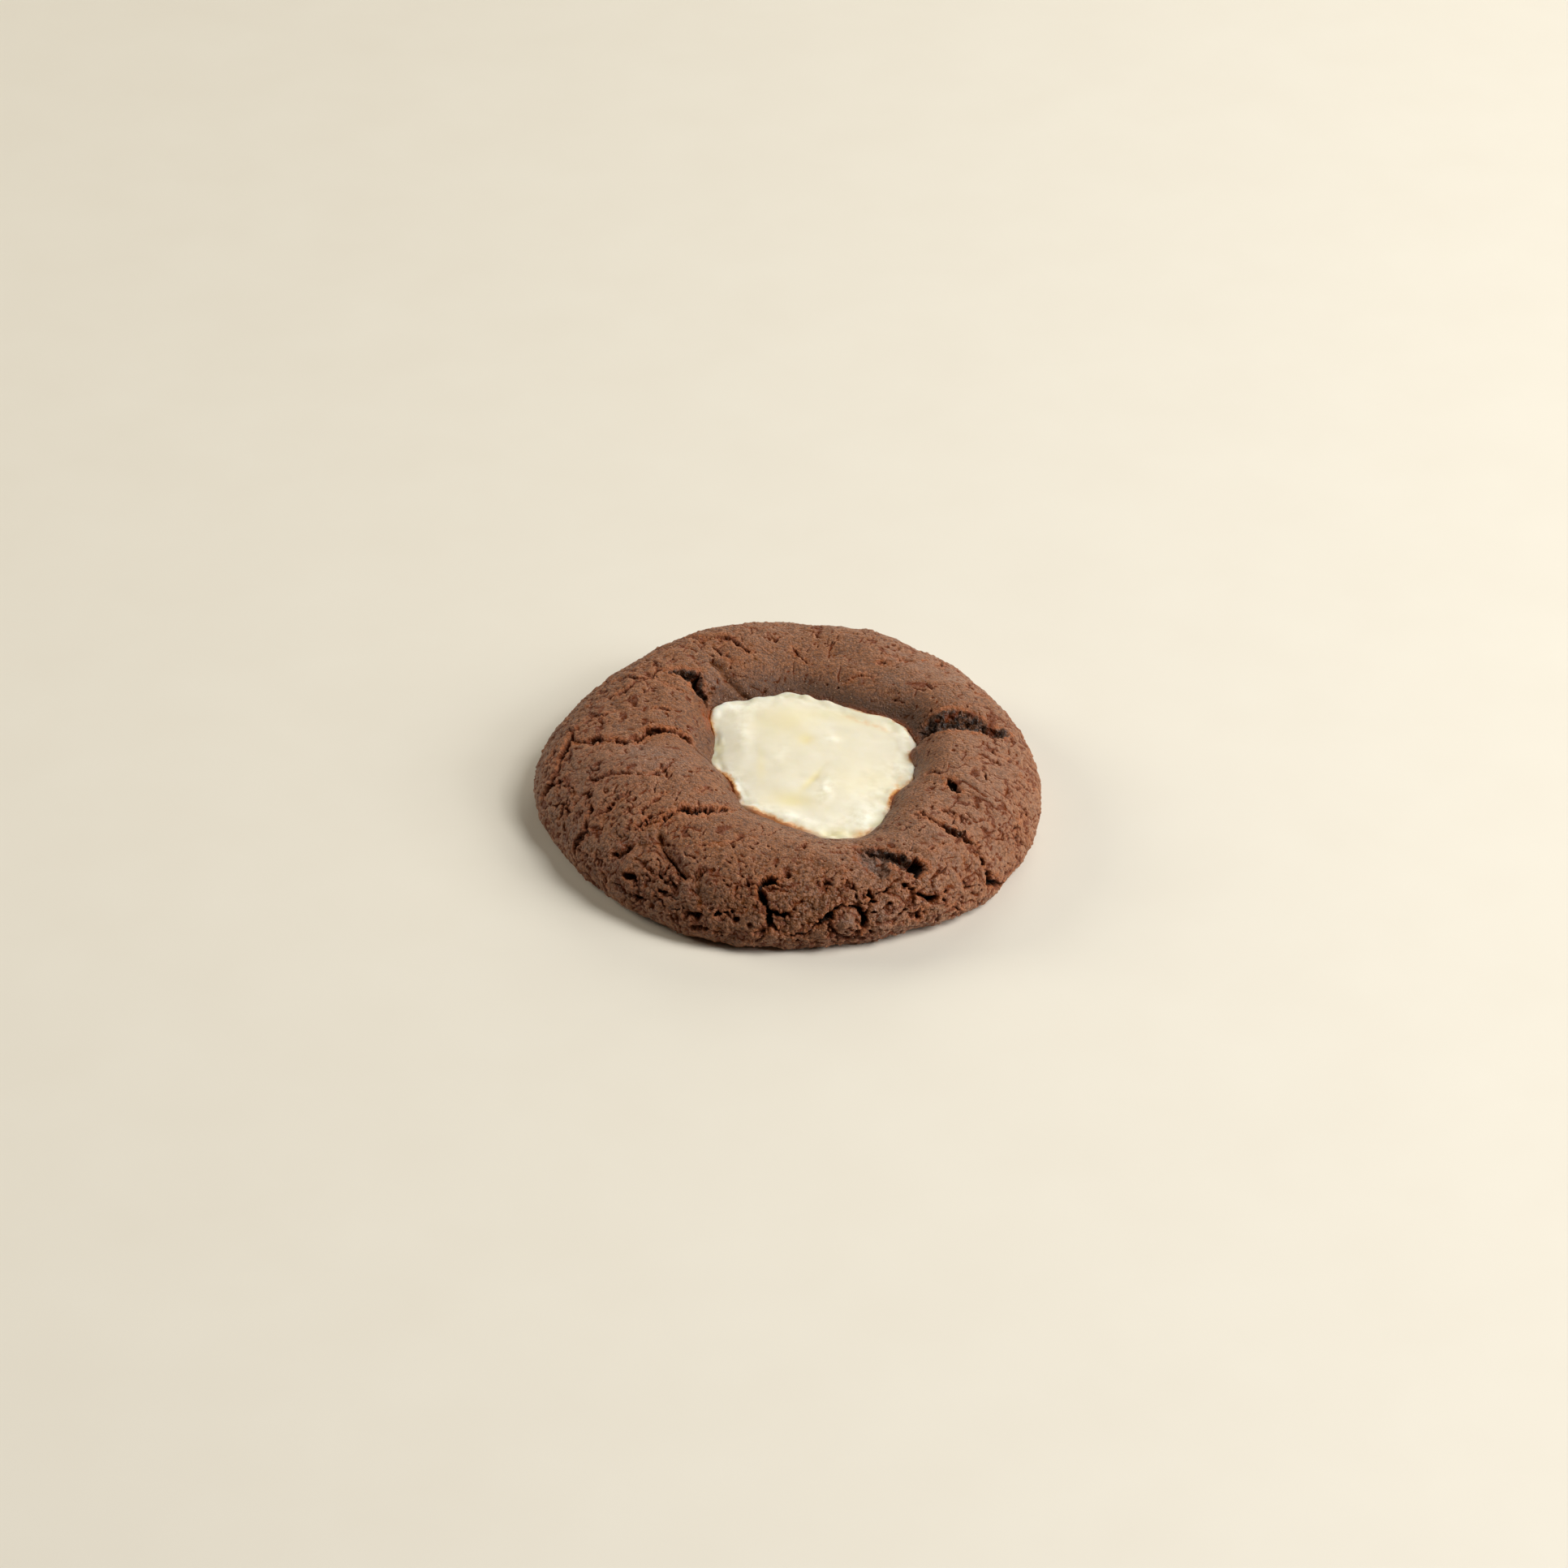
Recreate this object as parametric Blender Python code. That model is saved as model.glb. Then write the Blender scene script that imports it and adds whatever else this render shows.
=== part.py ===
"""A thick round chocolate cookie with a well pressed into its middle and pale cream baked in the well.

Two solids: the cookie, a ring of dough over a thin floor, and the filling that lies in its well.
Metres, +Z up. The origin is the middle of the flat underside, and the side shown in front faces -Y.
Places on the ring are given by the angle round it (degrees, 0 at +X, anticlockwise from above) and
by the share of the way across it, from 0 at the cream's edge over the crest to 1 at the foot.
"""

import bpy
import numpy as np

MM = 0.001

# Driving sizes of the plain form, evenly spaced round the cookie from angle 0
OUTER_RADII = np.array([44.0, 43.7, 44.0, 44.3, 44.2, 44.4, 42.8, 43.7,
                        44.2, 42.0, 42.0, 42.5, 42.4, 42.9, 45.0, 44.7]) * MM
WELL_RADII = np.array([22.0, 22.6, 22.3, 19.5, 18.3, 18.4, 18.9, 18.1, 19.0, 18.8, 14.6, 13.3,
                       13.1, 12.0, 11.3, 12.8, 15.3, 17.0, 19.6, 23.7, 25.9, 23.8, 21.2, 22.0]) * MM
CREST_HEIGHTS = np.array([13.9, 14.1, 14.3, 15.2, 14.8, 14.2, 12.9, 13.4]) * MM
CREAM_EDGE_HEIGHTS = np.array([9.5, 10.2, 11.0, 10.5, 9.5, 9.6, 10.2, 10.0]) * MM
CREST_SHARES = np.array([0.38, 0.40, 0.44, 0.40, 0.36, 0.38, 0.42, 0.40])
WALL_POWERS = np.array([2.6, 2.8, 2.6, 3.0, 3.2, 2.6, 1.7, 2.0])
FLOOR_HEIGHT = 4.5 * MM
EDGE_HEIGHT = 4.0 * MM
FLOOR_INSET = 3.0 * MM
FOOT_INSET = 3.0 * MM
GAP = 0.35 * MM
PLAN_CENTRE = np.array([0.08, 0.86]) * MM

# How the section bends: from the floor up to the cream's edge, and from the crest over to the side
FLOOR_POWER = 1.6
SIDE_SPREAD = 1.9
SIDE_POWER = 2.3
SIDE_ROUNDNESS = 1 / 1.7

# Cracks: half width and depth in millimetres, the rise of the side at smaller angles, then their course
CRACKS = {
    "left_fold": (0.8, 1.3, 0.4, [(178, 0.12), (176, 0.16), (176, 0.24), (176, 0.30), (180, 0.33),
                                  (184, 0.355), (182, 0.41), (180, 0.46), (178, 0.55), (176, 0.60),
                                  (173, 0.62)]),
    "left_rim": (0.8, 1.8, 0.3, [(172, 0.61), (176, 0.64), (183, 0.68), (186, 0.70), (187, 0.75),
                                 (188, 0.79)]),
    "left_plate": (0.5, 0.9, 0.0, [(189, 0.71), (194, 0.67), (197, 0.70), (200, 0.77)]),
    "lower_left_rim": (0.8, 1.4, 0.0, [(204, 0.65), (207, 0.68), (210, 0.74), (209, 0.82)]),
    "lower_left": (0.8, 1.3, 0.3, [(241, 0.18), (238, 0.24), (235, 0.29), (233, 0.32), (229, 0.36),
                                   (227, 0.40), (227, 0.44), (226, 0.48), (224, 0.52), (222, 0.57)]),
    "lower_left_hollow": (1.0, 0.8, 0.0, [(221, 0.73), (222, 0.72), (224, 0.66)]),
    "lower_left_groove": (0.9, 1.2, 0.0, [(230, 0.55), (237, 0.59), (243, 0.64), (247, 0.60)]),
    "front_left_low": (0.6, 1.0, 0.0, [(247, 0.79), (251, 0.78), (256, 0.74), (260, 0.70)]),
    "front": (0.9, 2.2, 0.25, [(270, 0.49), (266, 0.535), (264, 0.55), (263, 0.59), (264, 0.63), (265, 0.67),
                               (266, 0.72), (266, 0.77), (268, 0.80)]),
    "front_tail": (0.6, 1.1, 0.1, [(268, 0.80), (271, 0.82), (274, 0.82), (276, 0.77), (278, 0.74)]),
    "block_left": (0.6, 1.4, 0.0, [(278, 0.73), (281, 0.67)]),
    "block_top": (0.6, 1.0, 0.0, [(281, 0.67), (283, 0.65), (286, 0.66), (287, 0.70)]),
    "block_side": (0.6, 0.9, 0.0, [(280, 0.72), (280, 0.78), (284, 0.86)]),
    "block_right": (0.6, 1.4, 0.0, [(287, 0.67), (288, 0.72), (286, 0.82)]),
    "hole_left": (0.9, 2.0, 0.0, [(290, 0.565), (290, 0.60), (290.5, 0.635)]),
    "hole_middle": (1.3, 2.1, 0.0, [(304, 0.46), (303, 0.50), (302, 0.54)]),
    "hole_right": (0.9, 1.8, 0.0, [(301, 0.62), (301.5, 0.66), (303, 0.69), (305, 0.70)]),
    "lower_right_foot": (0.6, 1.0, 0.0, [(306, 0.71), (308, 0.79), (311, 0.86)]),
    "right_low": (0.8, 1.8, 0.3, [(318, 0.24), (317, 0.33), (318, 0.40), (318, 0.46), (319, 0.51),
                                  (321, 0.585)]),
    "right_low_side": (0.6, 1.1, 0.0, [(321, 0.58), (320, 0.66), (320, 0.75), (322, 0.81)]),
    "right_notch": (0.8, 1.8, 0.0, [(318, 0.77), (321, 0.81), (323, 0.85), (325, 0.90)]),
    "right_pit": (0.8, 1.3, 0.0, [(338.5, 0.26), (335.5, 0.32), (334.5, 0.36)]),
    "right_rim": (0.6, 1.1, 0.0, [(343, 0.72), (338, 0.69), (333, 0.75)]),
    "back_right": (0.7, 1.2, 0.25, [(56, 0.37), (53, 0.39), (50, 0.395), (47, 0.42), (46, 0.48)]),
    "back": (0.6, 1.0, -0.2, [(119, 0.52), (116, 0.43), (113, 0.44), (108, 0.37), (107, 0.32), (104, 0.26)]),
    "upper_left_fold": (1.0, 2.2, -0.4, [(134, 0.04), (134, 0.12), (131, 0.17), (130, 0.20), (134, 0.25),
                                         (136, 0.30)]),
    "upper_left_tail": (0.6, 1.1, 0.0, [(136, 0.31), (138, 0.37), (144, 0.38), (146, 0.43), (147, 0.57)]),
}

# Gashes that lay the moist inside bare: half width and depth in millimetres, then their course
GASHES = {
    "right": (3.2, 2.3, [(16.5, 0.07), (15.5, 0.13), (14, 0.21), (13, 0.28), (11.5, 0.35), (9.5, 0.43),
                         (8, 0.52)]),
    "lower_right": (2.4, 0.9, [(293.5, 0.25), (294, 0.33), (294.5, 0.40), (295, 0.47)]),
    "lower_right_trench": (1.3, 1.5, [(295, 0.25), (298, 0.32), (300, 0.39), (301, 0.46), (302, 0.52)]),
    "right_low": (1.1, 1.3, [(318, 0.41), (319, 0.49), (320, 0.555)]),
}

# Humps and hollows: angle, share across, reach in millimetres, height in millimetres
SWELLS = [
    (199, 0.36, 7.5, 1.1), (182, 0.33, 4.0, -0.6), (160, 0.30, 8.0, 0.6), (250, 0.30, 9.0, 0.4),
    (284, 0.735, 2.4, 1.0), (292.5, 0.73, 3.2, 1.0), (298, 0.52, 1.8, 1.0), (306, 0.58, 4.2, 0.9),
    (314, 0.36, 5.0, 0.5), (340, 0.34, 8.0, 0.5), (30, 0.34, 7.0, 0.6), (25, 0.08, 4.5, -1.3),
    (124, 0.15, 3.0, 0.8), (116, 0.13, 3.2, -0.5), (131, 0.12, 4.5, -1.0), (232, 0.56, 5.0, -0.5),
    (5, 0.02, 1.5, 1.0), (296, 0.30, 5.0, -0.8), (12, 0.28, 6.0, -0.6), (90, 0.44, 10.0, 0.4),
    (355, 0.30, 6.0, 0.4), (105, 0.50, 6.0, 0.6), (65, 0.52, 6.5, 0.7), (85, 0.50, 4.0, -0.2),
    (88, 0.20, 8.0, -0.8), (70, 0.16, 6.0, -0.4),
]

# The fine grid that the cookie is shaped on, and the triangles that it is thinned to
FINE_ANGLES = 400
FINE_ROWS = 96
GRID_START = -0.14
COOKIE_TRIANGLES = 9000
FLOOR_STEPS = 20
WALL_STEPS = 40
SIDE_STEPS = 120
FOOT_STEPS = 20
CRACK_REACH = 12 * MM

# The cream: shares of the way from its middle to its edge, then shares of the way up from the floor
CREAM_ANGLES = 96
CREAM_SHARES = (0.12, 0.3, 0.5, 0.68, 0.84, 0.94, 1.0)
CREAM_RISES = (0.85, 0.65, 0.4, 0.0)
CREAM_DOME = 0.4 * MM

DOUGH_COLOUR = (0.20, 0.085, 0.045)
DOUGH_ROUGHNESS = 0.75
CREAM_COLOUR = (0.86, 0.79, 0.60)
CREAM_ROUGHNESS = 0.35

# The slab that cuts the underside flat, and how far the uncut dough reaches into it
SLAB_WIDTH = 0.12
SLAB_THICKNESS = 0.01
CUT_DEPTH = 0.6 * MM


def clear_scene():
    for old in list(bpy.data.objects):
        bpy.data.objects.remove(old)


def material(name, colour, roughness):
    made = bpy.data.materials.new(name)
    made.use_nodes = True
    shader = made.node_tree.nodes["Principled BSDF"]
    shader.inputs["Base Color"].default_value = (*colour, 1.0)
    shader.inputs["Roughness"].default_value = roughness
    shader.inputs["Metallic"].default_value = 0.0
    return made


def around(angle, values):
    """The smooth closed curve through values that are evenly spaced round the cookie."""
    count = len(values)
    turn = (np.asarray(angle) / (2 * np.pi) * count) % count
    first = np.floor(turn).astype(int) % count
    part = turn - np.floor(turn)
    a, b, c, d = (values[(first + step) % count] for step in (-1, 0, 1, 2))
    square = (2 * a - 5 * b + 4 * c - d) * part**2
    cube = (3 * b - a - 3 * c + d) * part**3
    return 0.5 * (2 * b + (c - a) * part + square + cube)


def smooth_step(low, high, value):
    share = np.clip((value - low) / (high - low), 0, 1)
    return share * share * (3 - 2 * share)


def lattice_values(x, y, z, seed):
    """A repeatable random value from -1 to 1 for each whole-numbered place."""
    mixed = (x.astype(np.uint32) * np.uint32(73856093)) ^ (y.astype(np.uint32) * np.uint32(19349663))
    mixed ^= (z.astype(np.uint32) * np.uint32(83492791)) ^ np.uint32(seed * 2654435 + 97)
    mixed = (mixed ^ (mixed >> np.uint32(15))) * np.uint32(2246822519)
    mixed = (mixed ^ (mixed >> np.uint32(13))) * np.uint32(3266489917)
    mixed ^= mixed >> np.uint32(16)
    return mixed.astype(float) / 2147483648.0 - 1.0


def noise(points, size, seed):
    """Smooth noise from -1 to 1 with features about size across."""
    place = points / size + 100.0
    cell = np.floor(place).astype(np.int64)
    part = place - cell
    part = part * part * part * (part * (part * 6 - 15) + 10)
    total = 0.0
    for corner in np.ndindex(2, 2, 2):
        weight = np.where(corner, part, 1 - part).prod(-1)
        x, y, z = np.moveaxis(cell + corner, -1, 0)
        total = total + weight * lattice_values(x, y, z, seed)
    return total


def section(angle):
    """The ring's plain section at each angle: radius and height from the well's floor to under the foot."""
    outer, well, crest_height, cream_edge, crest_share, power = (
        around(angle, table)[:, None]
        for table in (OUTER_RADII, WELL_RADII, CREST_HEIGHTS, CREAM_EDGE_HEIGHTS, CREST_SHARES, WALL_POWERS)
    )
    crest = well + (outer - well) * crest_share
    up = np.linspace(0, 1, FLOOR_STEPS)[None, :-1]
    low = (well - FLOOR_INSET * (1 - up) ** FLOOR_POWER,
           FLOOR_HEIGHT + (cream_edge - FLOOR_HEIGHT) * up**FLOOR_POWER)
    fall = np.linspace(1, 0, WALL_STEPS)[None, :-1]
    wall = (crest - (crest - well) * fall, crest_height - (crest_height - cream_edge) * fall**power)
    out = 1 - (1 - np.linspace(0, 1, SIDE_STEPS)[None, :]) ** SIDE_SPREAD
    side = (crest + (outer - crest) * out,
            EDGE_HEIGHT + (crest_height - EDGE_HEIGHT) * (1 - out**SIDE_POWER) ** SIDE_ROUNDNESS)
    turn = np.linspace(0, 1, FOOT_STEPS)[None, 1:] * np.pi / 2
    foot = (outer - FOOT_INSET * (1 - np.cos(turn)), EDGE_HEIGHT * (1 - np.sin(turn)) + 0 * outer)
    return [np.concatenate(parts, 1) for parts in zip(low, wall, side, foot)]


def even_rows(angle, rows):
    """The plain section in even steps: radius, height, share across the ring and its length there."""
    radius, height = section(angle)
    edge = FLOOR_STEPS - 1
    steps = np.hypot(np.diff(radius, axis=1), np.diff(height, axis=1))
    along = np.concatenate([np.zeros((len(angle), 1)), np.cumsum(steps, 1)], 1)
    start = along[:, edge:edge + 1]
    length = along[:, -1:] - start
    share = np.linspace(GRID_START, 1.0, rows)[None, :] * np.ones_like(length)
    share[:, 0] = (-start / length)[:, 0]
    wanted = start + share * length
    even_radius = np.array([np.interp(w, a, r) for w, a, r in zip(wanted, along, radius)])
    even_height = np.array([np.interp(w, a, h) for w, a, h in zip(wanted, along, height)])
    return even_radius, even_height, share, length


def away_from(course, angle, share, radius, length):
    """Distance from a course on the ring, on which side of it, and how far along it, for every place."""
    nearest = np.full(angle.shape, 1.0)
    side = np.zeros(angle.shape)
    along = np.zeros(angle.shape)
    for index, (start, end) in enumerate(zip(course[:-1], course[1:])):
        turn = (angle - np.radians(start[0]) + np.pi) % (2 * np.pi) - np.pi
        x, y = turn * radius, (share - start[1]) * length
        dx, dy = np.radians(end[0] - start[0]) * radius, (end[1] - start[1]) * length
        part = np.clip((x * dx + y * dy) / (dx * dx + dy * dy), 0, 1)
        distance = np.hypot(x - part * dx, y - part * dy)
        closer = distance < nearest
        nearest = np.where(closer, distance, nearest)
        side = np.where(closer, np.sign(dx * y - dy * x), side)
        along = np.where(closer, (index + part) / (len(course) - 1), along)
    return nearest, side, along


def relief(angle, share, radius, length, points):
    """How far the dough stands out of the plain form at every place."""
    wobble = 0.45 * MM * noise(points, 1.6 * MM, 11) + 0.5 * MM * noise(points, 4.0 * MM, 12)
    out = 0.30 * MM * noise(points, 7.0 * MM, 1) + 0.16 * MM * noise(points, 3.0 * MM, 2)
    for middle, across, reach, height in SWELLS:
        turn = (angle - np.radians(middle) + np.pi) % (2 * np.pi) - np.pi
        distance = np.hypot(turn * radius, (share - across) * length) / (reach * MM)
        out = out + height * MM * np.exp(-distance**2)
    for half_width, depth, rise, course in CRACKS.values():
        distance, side, along = away_from(course, angle, share, radius, length)
        width = half_width * MM * (0.35 + 0.65 * np.sin(np.pi * np.clip(along, 0.04, 0.96)) ** 0.5)
        distance = distance + 0.45 * wobble
        out = out - depth * MM * (1 - smooth_step(0.25 * width, 1.25 * width, distance))
        out = out + 0.5 * rise * MM * side * np.exp(-np.abs(distance) / (3.0 * MM)) * (distance < CRACK_REACH)
    for half_width, depth, course in GASHES.values():
        distance, _, along = away_from(course, angle, share, radius, length)
        width = half_width * MM * (0.5 + 0.5 * np.sin(np.pi * np.clip(along, 0.05, 0.95)))
        out = out - depth * MM * (1 - smooth_step(0.3 * width, 1.05 * width, distance + 0.6 * wobble))
    fade = smooth_step(-0.02, 0.05, share) * smooth_step(1.0, 0.93, share)
    return out * fade


def surface(angles, rows):
    """Points of the cookie's surface by angle and row, each pushed out of the plain form along its normal."""
    angle = np.linspace(0, 2 * np.pi, angles, endpoint=False)
    radius, height, share, length = even_rows(angle, rows)
    turn = angle[:, None] + 0 * radius
    plain = np.stack([radius * np.cos(turn), radius * np.sin(turn), height], -1)
    round_it = np.roll(plain, -1, 0) - np.roll(plain, 1, 0)
    across = np.gradient(plain, axis=1)
    normal = np.cross(across, round_it)
    normal /= np.linalg.norm(normal, axis=2, keepdims=True) + 1e-12
    normal *= np.sign(normal[..., 2:].sum() + 1e-12)
    out = relief(turn, share, radius, length + 0 * radius, plain)
    moved = plain + normal * out[..., None]
    moved[..., :2] -= PLAN_CENTRE
    return moved


def ring_mesh(name, rings, finish):
    """A closed solid from rings of points, first ring to last, with both ends capped."""
    count = rings.shape[1]
    points = rings.reshape(-1, 3)
    faces = []
    for ring in range(len(rings) - 1):
        for step in range(count):
            a, b = ring * count + step, ring * count + (step + 1) % count
            faces.append((a, b, b + count, a + count))
    faces.append(tuple(range(count))[::-1])
    last = (len(rings) - 1) * count
    faces.append(tuple(range(last, last + count)))
    mesh = bpy.data.meshes.new(name)
    mesh.from_pydata(points.tolist(), [], faces)
    mesh.materials.append(finish)
    mesh.shade_smooth()
    mesh.set_sharp_from_angle(angle=np.radians(50))
    body = bpy.data.objects.new(name, mesh)
    bpy.context.scene.collection.objects.link(body)
    return body


def cookie(finish):
    """The ring of dough over its thin floor, thinned to few triangles and cut flat below."""
    rings = surface(FINE_ANGLES, FINE_ROWS).transpose(1, 0, 2)
    under = rings[-1].copy()
    under[:, 2] = -CUT_DEPTH
    body = ring_mesh("cookie", np.concatenate([under[None], rings[::-1]]), finish)
    thin = body.modifiers.new("Thin", "DECIMATE")
    thin.ratio = COOKIE_TRIANGLES / (2 * FINE_ANGLES * (FINE_ROWS + 1))
    flat = body.modifiers.new("Flat", "BOOLEAN")
    flat.operation = "DIFFERENCE"
    flat.object = table_cutter()
    return body


def table_cutter():
    """A slab under the base plane, which gives the cookie its flat underside."""
    bpy.ops.mesh.primitive_cube_add(size=1)
    slab = bpy.context.object
    slab.name = "table_cutter"
    slab.scale = (SLAB_WIDTH, SLAB_WIDTH, SLAB_THICKNESS)
    slab.location = (0, 0, -SLAB_THICKNESS / 2)
    slab.hide_render = True
    slab.display_type = "WIRE"
    return slab


def cream_height(x, y):
    """Height of the cream's slightly lumpy top."""
    points = np.stack([x, y, 0 * x], -1)
    return 0.25 * MM * noise(points, 6.0 * MM, 31) + 0.35 * MM * noise(points, 11.0 * MM, 32)


def filling(finish):
    """The cream: a lumpy top to the well's wall, and an underside a little clear of the wall and floor."""
    angle = np.linspace(0, 2 * np.pi, CREAM_ANGLES, endpoint=False)
    well = around(angle, WELL_RADII) - GAP
    edge = around(angle, CREAM_EDGE_HEIGHTS)
    middle = edge.mean() + CREAM_DOME
    rings = []
    for share in CREAM_SHARES:
        x, y = share * well * np.cos(angle), share * well * np.sin(angle)
        level = middle + (edge - middle) * share**2
        lump = cream_height(x, y) * (1 - share**6)
        rings.append(np.stack([x, y, level + lump], -1))
    for up in CREAM_RISES:
        radius = well - FLOOR_INSET * (1 - up) ** FLOOR_POWER
        level = FLOOR_HEIGHT + GAP + (edge - FLOOR_HEIGHT - GAP) * up**FLOOR_POWER
        rings.append(np.stack([radius * np.cos(angle), radius * np.sin(angle), level], -1))
    rings = np.array(rings[::-1])
    rings[..., :2] -= PLAN_CENTRE
    return ring_mesh("filling", rings, finish)


def main():
    clear_scene()
    cookie(material("baked_dough", DOUGH_COLOUR, DOUGH_ROUGHNESS))
    filling(material("cream", CREAM_COLOUR, CREAM_ROUGHNESS))


main()
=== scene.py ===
"""The looks of a thick chocolate cookie with pale cream baked into the well in its middle.

Two pieces stand for the two solids: the dough, a fine grid laid round the ring and carved with its
cracks, gashes, pits and crumb, and the cream in the well. Metres, +Z up, -Y towards the viewer.
Places on the ring are given by the angle round it (degrees, 0 at +X, anticlockwise from above) and
by the share of the way across it, from 0 at the cream's edge over the crest to 1 at the foot.
"""

import math

import bpy
import numpy as np
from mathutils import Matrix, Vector, noise as cell_noise


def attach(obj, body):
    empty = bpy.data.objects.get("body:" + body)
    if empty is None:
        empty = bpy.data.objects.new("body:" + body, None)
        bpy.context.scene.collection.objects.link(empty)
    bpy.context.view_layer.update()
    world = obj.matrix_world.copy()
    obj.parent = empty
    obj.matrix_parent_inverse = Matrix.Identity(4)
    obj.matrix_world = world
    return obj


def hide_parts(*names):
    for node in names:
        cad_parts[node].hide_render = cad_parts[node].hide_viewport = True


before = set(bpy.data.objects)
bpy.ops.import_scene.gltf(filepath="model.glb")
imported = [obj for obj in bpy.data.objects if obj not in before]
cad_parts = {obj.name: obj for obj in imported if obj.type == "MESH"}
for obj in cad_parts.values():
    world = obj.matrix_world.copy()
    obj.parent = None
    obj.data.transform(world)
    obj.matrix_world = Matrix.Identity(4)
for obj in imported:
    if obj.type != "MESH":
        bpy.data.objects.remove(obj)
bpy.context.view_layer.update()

MM = 0.001

# The plain form, evenly spaced round the cookie from angle 0
OUTER_RADII = np.array([44.0, 43.7, 44.0, 44.3, 44.2, 44.4, 42.8, 43.7,
                        44.2, 42.0, 42.0, 42.5, 42.4, 42.9, 45.0, 44.7]) * MM
WELL_RADII = np.array([22.0, 22.6, 22.3, 19.5, 18.3, 18.4, 18.9, 18.1, 19.0, 18.8, 14.6, 13.3,
                       13.1, 12.0, 11.3, 12.8, 15.3, 17.0, 19.6, 23.7, 25.9, 23.8, 21.2, 22.0]) * MM
CREST_HEIGHTS = np.array([13.9, 14.1, 14.3, 15.2, 14.8, 14.2, 12.9, 13.4]) * MM
CREAM_EDGE_HEIGHTS = np.array([9.5, 10.2, 11.0, 10.5, 9.5, 9.6, 10.2, 10.0]) * MM
CREST_SHARES = np.array([0.38, 0.40, 0.44, 0.40, 0.36, 0.38, 0.42, 0.40])
WALL_POWERS = np.array([2.6, 2.8, 2.6, 3.0, 3.2, 2.6, 1.7, 2.0])
FLOOR_HEIGHT = 4.5 * MM
EDGE_HEIGHT = 4.0 * MM
FLOOR_INSET = 3.0 * MM
FOOT_INSET = 3.0 * MM
PLAN_CENTRE = np.array([0.08, 0.86]) * MM

# How the section bends: from the floor up to the cream's edge, and from the crest over to the side
FLOOR_POWER = 1.6
SIDE_SPREAD = 1.9
SIDE_POWER = 2.3
SIDE_ROUNDNESS = 1 / 1.7
FLOOR_STEPS = 20
WALL_STEPS = 40
SIDE_STEPS = 120
FOOT_STEPS = 20

# Cracks: half width and depth in millimetres, course, and how far the side at smaller angles rises
CRACKS = {
    "left_slit": (0.45, 1.5, [(178, 0.12), (176, 0.16), (175.5, 0.20), (176, 0.25)], 0.4),
    "left_rim": (0.65, 2, [(172, 0.61), (176, 0.64), (181, 0.67), (183, 0.68), (186, 0.70), (186, 0.73),
        (187, 0.75), (188, 0.79)], 0.3),
    "lower_left_rim": (0.6, 1.6, [(204, 0.65), (207, 0.68), (207, 0.71), (210, 0.73), (210, 0.76),
        (209, 0.82)]),
    "lower_left_tail": (0.45, 1.2, [(222, 0.57), (222, 0.54), (223, 0.51)], 0.2),
    "lower_left_hollow": (0.9, 0.8, [(221, 0.73), (222, 0.72), (224, 0.69), (224, 0.66)]),
    "lower_left_groove": (0.45, 0.9, [(230, 0.55), (234, 0.58), (237, 0.59), (240, 0.61), (243, 0.64)]),
    "lower_left_hook": (0.5, 1.6, [(243, 0.64), (246, 0.62), (247, 0.60)]),
    "front": (0.55, 2.4, [(270, 0.49), (268, 0.52), (266, 0.535), (264, 0.55), (263, 0.59), (264, 0.63),
        (265, 0.67), (266, 0.72), (266, 0.77), (268, 0.80)], 0.25),
    "front_spur": (0.45, 1.4, [(266, 0.70), (267.5, 0.71), (269.5, 0.72)]),
    "front_tail": (0.4, 1.4, [(268, 0.80), (271, 0.82), (274, 0.82), (276, 0.77), (278, 0.74)], 0.1),
    "block_top": (0.3, 1.1, [(281, 0.67), (283, 0.65), (286, 0.66), (287, 0.70)]),
    "block_left": (0.5, 1.6, [(278, 0.73), (280, 0.71), (281, 0.67)]),
    "block_side": (0.22, 0.8, [(280, 0.72), (280, 0.78), (282, 0.83), (284, 0.86)]),
    "block_right": (0.5, 1.6, [(287, 0.67), (288, 0.72), (287.5, 0.78), (286, 0.82)]),
    "block_joint": (0.3, 1.2, [(287.5, 0.74), (288.5, 0.69), (290, 0.635)]),
    "hole_left": (0.85, 2.2, [(290, 0.565), (290, 0.60), (290.5, 0.635)]),
    "hole_middle": (1.3, 2.2, [(304, 0.46), (303, 0.50), (302, 0.54)]),
    "hole_right": (0.85, 1.9, [(301, 0.62), (301.5, 0.66), (303, 0.69), (305, 0.70)]),
    "right_low": (0.6, 1.9, [(318, 0.24), (317, 0.33), (318, 0.40), (318, 0.46), (319, 0.51),
        (320, 0.56), (321, 0.585)], 0.3),
    "right_notch": (0.7, 2, [(318, 0.77), (321, 0.81), (323, 0.85), (325, 0.90)]),
    "right_pit": (0.55, 1.4, [(338.5, 0.26), (337, 0.29), (335.5, 0.32), (334.5, 0.36)]),
    "upper_left_fold": (0.95, 1.2, [(134, 0.04), (134, 0.08), (134, 0.12), (133.5, 0.15), (131, 0.17),
        (130, 0.20), (132, 0.225), (134, 0.25), (136, 0.30)], -0.4),
}

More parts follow.
